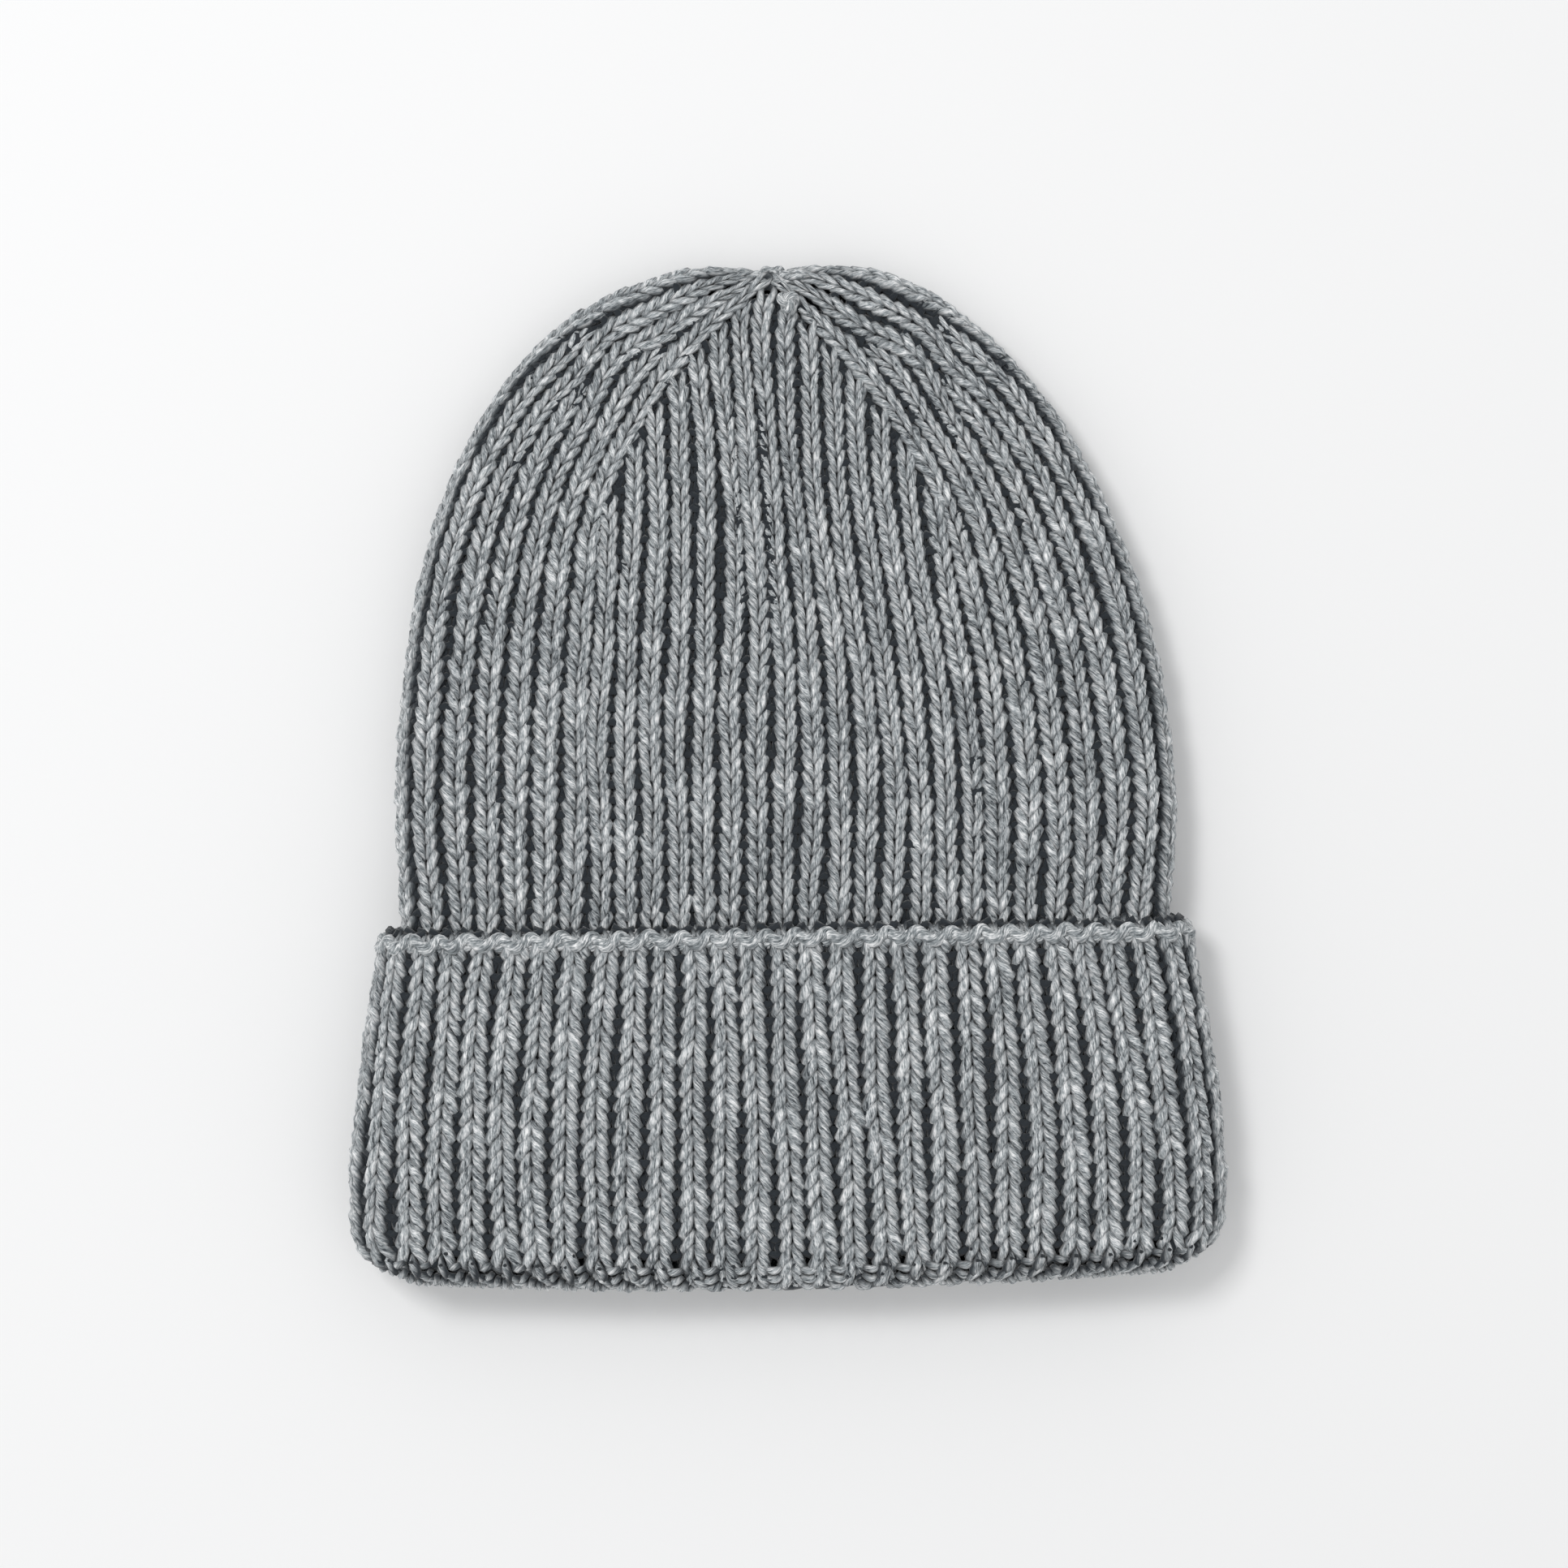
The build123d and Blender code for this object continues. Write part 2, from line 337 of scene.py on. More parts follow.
@dataclass(frozen=True)
class MelangeYarn:
    """Soft spun acrylic and wool, dyed in the fibre and plied from several ends.

    To the eye it is matt and slightly hairy, with fine light and dark fibres that run slantwise
    round each strand. Its colour is painted dark where strands lie deep between the ribs, as
    painted shade.
    """

    name: str
    dark: str = "33383D"
    middle: str = "ABB1B4"
    light: str = "FFFFFF"
    # painted shade: the colour that yarn lying deep between the ribs is painted
    deep: str = "2C3136"
    fibre: float = 0.36      # mm from one fibre streak to the next, drawn coarse enough to show
    streak: float = 0.22     # how fast a streak changes along the yarn, as a share of across it
    ply: float = 13.0        # mm along the yarn for one ply to come round
    round_yarn: float = 7.2  # mm round the yarn
    plies: int = 3
    blotch: float = 9.0      # mm between paler and darker stretches of the melange
    fleck: float = 1.1       # mm between single flecks
    # painted shade: below this lift the yarn takes only the painted shade colour
    painted_shade_lift: float = 0.24     # lift below which the yarn shows only its deep colour
    roughness: float = 0.92
    sheen: float = 0.25

    def material(self) -> bpy.types.Material:
        """Build the yarn's material, which reads the yarn UV map, the lift for its painted shade,
        and the tone.
        """
        return coat(self.name, self._draw)

    def _draw(self, tree: bpy.types.NodeTree) -> tuple:
        """Draw fibres, plies, melange and painted shade in an empty tree.

        Args:
            tree: The material's tree.

        Returns:
            The bump and the surface's inputs, as coat() takes them.
        """
        along, around = along_yarn(tree)
        slant = reckon(tree, "ADD", reckon(tree, "DIVIDE", along, self.ply), around)
        tone = add(tree, "ShaderNodeAttribute", {"attribute_name": "tone"}).outputs["Fac"]
        lift = add(tree, "ShaderNodeAttribute", {"attribute_name": "lift"}).outputs["Fac"]
        # Fibres: long streaks along the ply's slant, other ones in each stitch.
        streak_at = add(tree, "ShaderNodeCombineXYZ",
                        X=reckon(tree, "MULTIPLY", slant, self.round_yarn / self.fibre),
                        Y=reckon(tree, "MULTIPLY", along, self.streak / self.fibre),
                        Z=reckon(tree, "MULTIPLY", tone, 37.0))
        streak = noise(tree, streak_at.outputs[0], 1.0, roughness=0.65)
        # Plies: grooves where the ends of the strand meet. They also darken the colour a little in
        # the grooves: painted shade.
        groove = reckon(tree, "ABSOLUTE", reckon(
            tree, "SINE", reckon(tree, "MULTIPLY", slant, math.pi * self.plies)))
        # Melange: slow changes from strand to strand, and flecks.
        place = add(tree, "ShaderNodeTexCoord").outputs["Object"]
        cloud = noise(tree, place, 1 / (self.blotch * MM), 3.0, 0.6)
        flecks = noise(tree, place, 1 / (self.fleck * MM), 1.0)
        shade = weigh(tree, -0.48, (streak, 1.25), (cloud, 0.25), (flecks, 0.3), (groove, 0.16),
                      (tone, 0.05))
        dyed = ramp(tree, shade, (0.22, self.dark), (0.5, self.middle), (0.82, self.light))
        # Painted shade: where the lift is low the colour goes to the deep colour, for the shade
        # between the ribs.
        out = add(tree, "ShaderNodeMapRange", {"interpolation_type": "SMOOTHSTEP", "in": {
            1: self.painted_shade_lift, 2: 1.0, 3: 0.0, 4: 1.0}}, Value=lift)
        colour = add(tree, "ShaderNodeMix", {"data_type": "RGBA", "in": {
            6: linear(self.deep), 7: dyed}}, Factor=out.outputs[0])
        height = weigh(tree, 0.0, (streak, 0.9), (groove, 0.8))
        return 0.6, 0.35, height, {
            "Roughness": self.roughness, "Sheen_Weight": self.sheen, "Sheen_Roughness": 0.5,
            "Base_Color": colour.outputs[2], "Specular_IOR_Level": 0.2}


@dataclass(frozen=True)
class SatinRibbon:
    """Undyed polyester satin ribbon, woven and slit to width.

    To the eye it is off-white, with fine lengthwise threads, a soft shine along them and no print.
    """

    name: str = "woven_satin_ribbon"
    colour: str = "DAD9D4"
    slub_colour: str = "C9C8C2"
    thread: float = 0.45     # mm between threads, drawn twice as coarse as real so that they show
    slub: float = 3.0        # mm between thicker and thinner stretches

    def material(self) -> bpy.types.Material:
        """Build the ribbon's material."""
        return coat(self.name, self._draw)

    def _draw(self, tree: bpy.types.NodeTree) -> tuple:
        """Draw the threads in an empty tree, and give the bump and the surface's inputs."""
        place = add(tree, "ShaderNodeTexCoord").outputs["Object"]
        threads = add(tree, "ShaderNodeTexWave", {"wave_type": "BANDS", "bands_direction": "X"},
                      Vector=place, Scale=0.314 / (self.thread * MM), Distortion=0.6, Detail=1.0)
        colour = ramp(tree, noise(tree, place, 1 / (self.slub * MM)),
                      (0.0, self.slub_colour), (1.0, self.colour))
        return 0.4, 0.1, threads.outputs["Fac"], {
            "Roughness": 0.42, "Sheen_Weight": 0.1, "Base_Color": colour}


@dataclass(frozen=True)
class SewingThread:
    """Spun polyester sewing thread: pale, tightly twisted, with a faint shine on each turn."""

    name: str = "polyester_thread"
    colour: str = "CFCEC8"
    # painted shade: the colour in the twist's grooves
    painted_groove_shade: str = "A9A8A2"
    turn: float = 0.8        # mm along the thread for one twist

    def material(self) -> bpy.types.Material:
        """Build the thread's material."""
        return coat(self.name, self._draw)

    def _draw(self, tree: bpy.types.NodeTree) -> tuple:
        """Draw the twist and its painted groove shade in an empty tree, and give the bump and
        inputs.
        """
        along, around = along_yarn(tree)
        turns = reckon(tree, "MULTIPLY_ADD", along, 1 / self.turn, around)
        twist = reckon(tree, "SINE", reckon(tree, "MULTIPLY", turns, FULL_TURN))
        # Painted shade: the colour is darker in the twist's grooves.
        colour = ramp(tree, twist, (0.0, self.painted_groove_shade), (1.0, self.colour))
        return 0.6, 0.08, twist, {"Roughness": 0.5, "Base_Color": colour}


@dataclass(frozen=True)
class StudioPaper:
    """Seamless background paper: matt white and plain to the eye, with only a fine grain."""

    name: str = "white_studio_paper"
    colour: str = "F6F6F6"

    def material(self) -> bpy.types.Material:
        """Build the paper's material."""
        return coat(self.name, self._draw)

    def _draw(self, tree: bpy.types.NodeTree) -> tuple:
        """Draw the grain in an empty tree, and give the bump and the surface's inputs."""
        place = add(tree, "ShaderNodeTexCoord").outputs["Object"]
        return 0.05, 0.02, noise(tree, place, 900.0), {
            "Roughness": 0.9, "Base_Color": linear(self.colour)}


# --- the stitches --------------------------------------------------------------------------------

class Shape(IntEnum):
    """The loops in the stitch collection, by their first place in it."""

    FACE = 0     # a loop that shows on its side of the fabric
    REVERSE = 4  # the same loop on the hidden side, with fewer flats
    PURL = 6     # the short bar that a loop's head makes between two ribs


VARIANTS = {Shape.FACE: 4, Shape.REVERSE: 2, Shape.PURL: 2}


@dataclass
class Loop:
    """One knitted loop: up one leg, over the head behind the next loop, and down the other leg."""

    width: float = 5.6       # from where the yarn comes in to where it goes out
    half_height: float = 3.7
    sway: float = 1.7        # how far the legs lean out to the head
    rise: float = 0.85       # half of how far the legs come out of the fabric
    tilt: float = 0.15       # how much farther out a leg's foot lies than its upper end
    radius: float = 1.38     # of the yarn in the middle of a leg
    foot: float = 0.42       # share of that radius at the feet, where the yarn is pinched
    head: float = 0.12       # share of that radius lost at the head
    crowd: float = 0.12      # how closely the rings crowd on the legs
    segments: int = 12
    sides: int = 6

    def mesh(self, name: str, seed: int, wobble: float) -> bpy.types.Mesh:
        """Make the loop.

        Args:
            name: The mesh's name.
            seed: Picks how this variant differs from the others.
            wobble: Largest difference of each size, as a share.

        Returns:
            The loop's mesh in metres, with the rib's direction along Y and its outside along Z.
        """
        rng = np.random.default_rng(seed)
        lean, tall, deep, thick = 1 + wobble * rng.uniform(-1, 1, 4)
        t = np.linspace(0, FULL_TURN, self.segments + 1)
        t = t - self.crowd * np.sin(2 * t)
        left = 1 + wobble * rng.uniform(-1, 1)
        right = 1 + wobble * rng.uniform(-1, 1)
        leg = np.where(t < math.pi, left, right)
        x = self.width * t / FULL_TURN - self.width / 2 + self.sway * lean * np.sin(2 * t)
        y = -self.half_height * tall * np.cos(t)
        z = self.rise * deep * leg * (1 - np.cos(2 * t)) + self.tilt * np.cos(t)
        plump = smooth_step((1 - np.cos(t)) / 1.1)
        plump = plump * (1 - self.head * smooth_step(-np.cos(t) * 2 - 1))
        radius = self.radius * thick * (self.foot + (1 - self.foot) * plump)
        swept = tube(np.stack([x, y, z], axis=1), radius, self.sides)
        swept[2][:, 0] += rng.uniform(0, 20)    # no two variants start at the same fibres
        # the lift drives the painted shade of the yarn: feet and hidden loops come out dark
        lift = np.clip(swept[0][:, 2] / (2 * self.rise + self.radius), 0, 1)
        return yarn_mesh(name, [swept], lift)


@dataclass
class PurlBump:
    """The short bar of yarn that shows between two ribs where the fabric is bent open."""

    width: float = 4.4
    droop: float = 0.9
    dip: float = 1.6         # how far its ends go down into the fabric
    radius: float = 1.2
    taper: float = 0.2
    segments: int = 7
    sides: int = 6

    def mesh(self, name: str, seed: int, wobble: float) -> bpy.types.Mesh:
        """Make the bar, with arguments and result as in Loop.mesh()."""
        rng = np.random.default_rng(seed)
        t = np.linspace(-1, 1, self.segments + 1)
        x = self.width / 2 * t
        y = self.droop * (1 - t * t) * (1 + wobble * rng.uniform(-1, 1))
        line = np.stack([x, y, -self.dip * np.abs(t) ** 2.5], axis=1)
        swept = tube(line, self.radius * (1 - self.taper * t * t), self.sides)
        # the lift drives the painted shade of the yarn: the bar's ends come out darker
        return yarn_mesh(name, [swept], np.clip(0.62 + swept[0][:, 2] / 4, 0, 1))


REVERSE_LOOP = Loop(rise=0.5, radius=1.25, foot=0.85, tilt=0.0, segments=8, sides=4)


@dataclass
class StitchBasket:
    """The collection of loops that every knitted piece takes its stitches from."""

    wobble: float = 0.08
    first_seed: int = 11

    def fill(self) -> bpy.types.Collection:
        """Make the loops.

        Returns:
            The collection, which no scene holds. Its objects sort in the order of Shape.
        """
        basket = bpy.data.collections.new("stitches")
        makers = {Shape.FACE: Loop(), Shape.REVERSE: REVERSE_LOOP, Shape.PURL: PurlBump()}
        for shape, maker in makers.items():
            for place in range(shape, shape + VARIANTS[shape]):
                name = f"stitch_{place:02d}"
                mesh = maker.mesh(name, self.first_seed + place, self.wobble)
                basket.objects.link(bpy.data.objects.new(name, mesh))
        return basket


def stitching_tree() -> bpy.types.NodeTree:
    """Build the Geometry Nodes tree that sets a loop on every point and joins them.

    Returns:
        The tree. Its inputs are the basket, the seed, the jitter of turn and size, and the yarn.
    """
    tree = bpy.data.node_groups.new("KnitStitches", "GeometryNodeTree")
    for name, kind in (("Points", "Geometry"), ("Basket", "Collection"), ("Seed", "Int"),
                       ("Turn", "Float"), ("Swell", "Float"), ("Yarn", "Material")):
        tree.interface.new_socket(name, in_out="INPUT", socket_type=f"NodeSocket{kind}")
    tree.interface.new_socket("Knit", in_out="OUTPUT", socket_type="NodeSocketGeometry")
    given = add(tree, "NodeGroupInput").outputs
    basket = add(tree, "GeometryNodeCollectionInfo", Collection=given["Basket"],
                 Separate_Children=True, Reset_Children=True)
    facing, size, shape = (
        add(tree, "GeometryNodeInputNamedAttribute", {"data_type": kind}, Name=name).outputs[0]
        for name, kind in (("facing", "FLOAT_VECTOR"), ("size", "FLOAT_VECTOR"), ("shape", "INT")))
    # Turn each stitch a little, about its own axes.
    less = reckon(tree, "MULTIPLY", given["Turn"], -1.0)
    low, high = (add(tree, "ShaderNodeCombineXYZ", X=end, Y=end, Z=end).outputs[0]
                 for end in (less, given["Turn"]))
    turn = add(tree, "FunctionNodeRandomValue", {"data_type": "FLOAT_VECTOR", "in": {
        0: low, 1: high}}, Seed=given["Seed"])
    base, local = (add(tree, "FunctionNodeEulerToRotation", Euler=angles).outputs[0]
                   for angles in (facing, turn.outputs[0]))
    both = add(tree, "FunctionNodeRotateRotation", {"rotation_space": "LOCAL"}, Rotation=base,
               Rotate_By=local)
    # Swell or shrink it a little.
    swell = add(tree, "FunctionNodeRandomValue", {"data_type": "FLOAT", "in": {
        2: reckon(tree, "SUBTRACT", 1.0, given["Swell"]),
        3: reckon(tree, "ADD", 1.0, given["Swell"])}}, Seed=reckon(tree, "ADD", given["Seed"], 17.0))
    scaled = add(tree, "ShaderNodeVectorMath", {"operation": "SCALE"}, Vector=size,
                 Scale=swell.outputs[1])
    placed = add(tree, "GeometryNodeInstanceOnPoints", Points=given["Points"],
                 Pick_Instance=True, Instance=basket.outputs[0], Instance_Index=shape,
                 Rotation=both.outputs[0], Scale=scaled.outputs[0])
    real = add(tree, "GeometryNodeRealizeInstances", Geometry=placed.outputs[0])
    dressed = add(tree, "GeometryNodeSetMaterial", Geometry=real.outputs[0], Material=given["Yarn"])
    add(tree, "NodeGroupOutput", Knit=dressed.outputs[0])
    return tree


@dataclass
class StitchField:
    """Where the stitches of one piece go."""

    course: float = 3.66     # mm from one stitch to the next along a rib
    rib: float = 7.7         # mm from rib to rib that the loops are drawn for
    narrowest: float = 0.45  # a loop's least and greatest width, as shares of its own
    widest: float = 1.2
    shortest: float = 0.78   # its least height, as a share of its own
    seed: int = 1
    rows: list = field(default_factory=list)    # each rib's places, facings, sizes and shapes

    def column(self, path: np.ndarray, out: np.ndarray, pitch: np.ndarray, shape: Shape,
               base: float, stretch: float = 1.0, swell: float = 1.0) -> None:
        """Lay one rib's stitches.

        Args:
            path: Middle of the fabric along the rib, in the direction it was knitted.
            out: The rib's outward direction at each point.
            pitch: Distance to the next rib at each point.
            shape: The loop to use.
            base: How far the loops' feet lie out of the middle of the fabric.
            stretch: Length of a course here, as a share of the usual.
            swell: Thickness out of the fabric, as a share of the usual.
        """
        steps = lengths(path)
        count = max(1, round(steps[-1] / (self.course * stretch)))
        at = (np.arange(count) + 0.5) * steps[-1] / count
        ahead = unit(read_at(np.gradient(path, axis=0), steps, at))
        normal = read_at(out, steps, at)
        normal = unit(normal - ahead * np.sum(normal * ahead, axis=1, keepdims=True))
        across = np.cross(ahead, normal)
        wide = np.clip(np.interp(at, steps, pitch) / self.rib, self.narrowest, self.widest)
        tall = np.full(count, max(steps[-1] / count / self.course, self.shortest))
        turn = np.stack([np.arctan2(ahead[:, 2], normal[:, 2]),
                         -np.arcsin(np.clip(across[:, 2], -1, 1)),
                         np.arctan2(across[:, 1], across[:, 0])], axis=1)
        rng = np.random.default_rng(self.seed + 101 * len(self.rows))
        self.rows.append((read_at(path, steps, at) + normal * base, turn,
                          np.stack([wide, tall, 0.5 * (1 + wide) * swell], axis=1),
                          int(shape) + rng.integers(0, VARIANTS[shape], count)))

    def points(self, name: str) -> bpy.types.Object:
        """Make the points with their attributes, as an object in the scene."""
        places, facings, sizes, shapes = (np.concatenate(rows) for rows in zip(*self.rows))
        mesh = bpy.data.meshes.new(name)
        mesh.from_pydata((places * MM).tolist(), [], [])
        note(mesh, "facing", facings, "FLOAT_VECTOR")
        note(mesh, "size", sizes, "FLOAT_VECTOR")
        note(mesh, "shape", shapes, "INT")
        note(mesh, "tone", np.random.default_rng(self.seed).uniform(-1, 1, len(places)))
        return stand(name, mesh)


@dataclass
class Workshop:
    """What every piece needs: the stitch tree, the basket of loops and the finishes."""

    tree: bpy.types.NodeTree
    basket: bpy.types.Collection
    rib_yarn: bpy.types.Material
    edge_yarn: bpy.types.Material
    closing_yarn: bpy.types.Material
    seam_yarn: bpy.types.Material
    ribbon: bpy.types.Material
    thread: bpy.types.Material
    turn: float = 0.1        # radians that a stitch may sit askew
    swell: float = 0.07      # share that it may be larger or smaller

    def knit(self, name: str, stitches: StitchField, seed: int) -> bpy.types.Object:
        """Turn a field of stitches into one plain mesh object.

        Args:
            name: The piece's name.
            stitches: Where the stitches go.
            seed: Changes which stitches sit askew.

        Returns:
            The piece, at the origin, with its yarn on.
        """
        made = stitches.points(name)
        modifier = made.modifiers.new("stitches", "NODES")
        modifier.node_group = self.tree
        given = {"Basket": self.basket, "Seed": seed, "Turn": self.turn, "Swell": self.swell,
                 "Yarn": self.rib_yarn}
        for item in self.tree.interface.items_tree:
            if item.in_out == "INPUT" and item.name in given:
                modifier[item.identifier] = given[item.name]
        bpy.context.view_layer.update()
        graph = bpy.context.evaluated_depsgraph_get()
        mesh = bpy.data.meshes.new_from_object(made.evaluated_get(graph),
                                               preserve_all_data_layers=True, depsgraph=graph)
        made.modifiers.remove(modifier)
        made.data = mesh
        mesh.name = name
        for label in ("facing", "size", "shape"):
            if label in mesh.attributes:
                mesh.attributes.remove(mesh.attributes[label])
        smooth(mesh)
        return made

    def piece(self, mesh: bpy.types.Mesh, finish: bpy.types.Material) -> bpy.types.Object:
        """Put a finished mesh in the scene under its own name, with its material."""
        mesh.materials.append(finish)
        return stand(mesh.name, mesh)


def hand_over(made: bpy.types.Object, body: str, slot: str, *nodes: str) -> None:
    """Ride a piece on its body in place of its solids, and log it.

    Args:
        made: The finished piece.
        body: The body it moves with.
        slot: The record's material slot. Not used.
        nodes: The solids it stands for.
    """
    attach(made, body)
    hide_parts(*nodes)
    LOG.info("%s rides on %s: %d faces", made.name, body, len(made.data.polygons))


# --- the knitted tube ----------------------------------------------------------------------------

RIBS = 58                # ribs round the hat
FABRIC = 5.0             # thickness of one layer
FACE_BASE = -0.75        # the feet of the loops that show, from the middle of the fabric outwards
REVERSE_BASE = 0.1       # the same for the hidden loops, from the middle inwards
BAND_ZONES = {"front": range(-10, 11), "right": range(11, 19), "back": range(19, 40),
              "left": range(-18, -10)}
CUFF_ZONES = {"front": range(-12, 13), "right": range(13, 17), "back": range(17, 42),
              "left": range(-16, -12)}


def corners(node: str) -> list[tuple[float, ...]]:
    """Give the lowest and the highest corner of a node's box in millimetres."""
    return [tuple(c / MM for c in corner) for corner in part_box(node)]


def stadium(u: np.ndarray, flat: np.ndarray, radius: float) -> tuple[np.ndarray, ...]:
    """Walk round a flattened tube.

    Args:
        u: Distance from the middle of the front, to the right.
        flat: Half the length of the flat part.
        radius: Radius of the rounded edge.

    Returns:
        x, z, and the outward direction's x and z.
    """
    total = 4 * flat + FULL_TURN * radius
    u = (u + total / 2) % total - total / 2
    side = np.where(u < 0, -1.0, 1.0)
    far = np.abs(u)
    angle = np.clip((far - flat) / radius, 0, math.pi)
    back = np.where(angle >= math.pi, 2 * flat + math.pi * radius - far, flat)
    along = np.where(far < flat, far, back)
    sin, cos = np.sin(angle), np.cos(angle)
    return side * (along + radius * sin), radius * cos, side * sin, cos


def wander(rib: float, y: np.ndarray, size: float) -> np.ndarray:
    """Sideways drift of a rib in millimetres: slow, and shared with its neighbours."""
    return size * (np.sin(y / 21.0 + 0.55 * rib) + 0.6 * np.sin(y / 9.5 + 2.1 * rib)
                   + 0.5 * np.sin(y / 37.0 + 0.21 * rib))


@dataclass
class FlatTube:
    """One layer pair of the knit tube between two heights, the turned-up cuff or the band in it."""

    middle_z: float
    half_height: float       # outer
    low_y: float
    high_y: float
    knitted_up: bool         # True where the knitting ran towards the tip
    drift: float = 0.5
    billow: float = 0.3      # half of how far the fabric sinks in its slow waves
    sag: float = 2.6         # the fold's ends lie this much higher than its middle
    sag_x: float = 85.0      # where they lie so
    sag_reach: float = 24.0  # how far up the sag is felt
    side_x: float = 82.0     # where the pull of the rounded corners starts
    side_reach: float = 19.0
    loops_for: float = 8.1   # rib pitch that the loops keep their own width at
    samples: int = 60

    def half_width(self, y: np.ndarray) -> np.ndarray:
        """Outer half width at a height."""
        raise NotImplementedError

    def turned_in(self, y: np.ndarray) -> np.ndarray:
        """How far the outline has come in at a height, where there are rounded corners."""
        return 0 * y

    def place(self, rib: float, y: np.ndarray) -> tuple[np.ndarray, np.ndarray, np.ndarray]:
        """Find a rib's line.

        Args:
            rib: The rib's number from the middle of the front; halves lie in the valleys.
            y: Heights along it.

        Returns:
            Points, outward directions and distances to the next rib.
        """
        radius = self.half_height - FABRIC / 2
        flat = self.half_width(y) - self.half_height
        pitch = (4 * flat + FULL_TURN * radius) / RIBS
        x, z, nx, nz = stadium(rib * pitch + wander(rib, y, self.drift), flat, radius)
        wave = self.billow * (np.sin(y / 17.0 + 0.8 * rib) - 1)
        pull = smooth_step((np.abs(x) - self.side_x) / self.side_reach)
        x = x - np.sign(x) * self.turned_in(y) * pull
        near = smooth_step((self.low_y + self.sag_reach - y) / self.sag_reach)
        y = y + self.sag * (x / self.sag_x) ** 2 * near
        points = np.stack([x + nx * wave, y, self.middle_z + z + nz * wave], axis=1)
        return points, np.stack([nx, 0 * y, nz], axis=1), pitch

    def zone(self, ribs: range, seed: int) -> StitchField:
        """Lay the stitches of one zone, both sides of the fabric.

        Args:
            ribs: The ribs in it.
            seed: Changes the mix of loops.

        Returns:
            The filled field.
        """
        stitches = StitchField(seed=seed, rib=self.loops_for)
        y = np.linspace(self.low_y, self.high_y, self.samples)[::1 if self.knitted_up else -1]
        for rib in ribs:
            path, out, pitch = self.place(rib, y)
            stitches.column(path, out, pitch, Shape.FACE, FACE_BASE)
            path, out, pitch = self.place(rib + 0.5, y)
            stitches.column(path, -out, pitch, Shape.REVERSE, REVERSE_BASE)
        return stitches


@dataclass
class CuffTube(FlatTube):
    """The turned-up cuff: straight above the fold, then drawn in to its cast-on edge."""

    wide: float = 104.6
    narrow: float = 97.0
    turn_y: float = -95.0    # where it starts to draw in
    edge_y: float = -37.0
    draw: float = 1.4        # power of the curve it draws in by
    corner: float = 14.0     # plan radius of the bottom corners
    corner_y: float = -107.0
    loops_for: float = 7.6

    def half_width(self, y: np.ndarray) -> np.ndarray:
        """Outer half width at a height."""
        share = np.clip((y - self.turn_y) / (self.edge_y - self.turn_y), 0, 1)
        return self.wide - (self.wide - self.narrow) * share ** self.draw

    def turned_in(self, y: np.ndarray) -> np.ndarray:
        """How far the outline has come in at a height, round the bottom corner."""
        below = np.clip(self.corner_y - y, 0, self.corner)
        return self.corner - np.sqrt(self.corner ** 2 - below ** 2)


@dataclass
class BandTube(FlatTube):
    """The band inside the cuff, the same width all the way up."""

    wide: float = 90.0
    drift: float = 0.2

    def half_width(self, y: np.ndarray) -> np.ndarray:
        """Outer half width at a height."""
        return np.full_like(y, self.wide)


@dataclass(frozen=True)
class Crease:
    """The soft crease down the front, a ridge near the middle with a dip to its left."""

    height: float = 1.3
    low_y: float = 18.0
    high_y: float = 98.0
    fade_in: float = 20.0
    fade_out: float = 18.0
    ridge: tuple[float, float] = (-3.5, 3.6)    # x of its middle, and its width
    dip: tuple[float, float] = (-12.0, 4.6)
    shift: tuple[float, float] = (-10.0, 5.0)   # where it pushes the ribs to the right
    push: float = 1.2

    def bend(self, x: np.ndarray, y: np.ndarray) -> tuple[np.ndarray, np.ndarray]:
        """Give how far the crease lifts a rib and how far it pushes it to the right."""
        ridge, dip, shift = (np.exp(-((x - middle) / width) ** 2)
                             for middle, width in (self.ridge, self.dip, self.shift))
        long = (smooth_step((y - self.low_y) / self.fade_in)
                * smooth_step((self.high_y - y) / self.fade_out))
        return self.height * long * (ridge - dip), self.push * long * shift


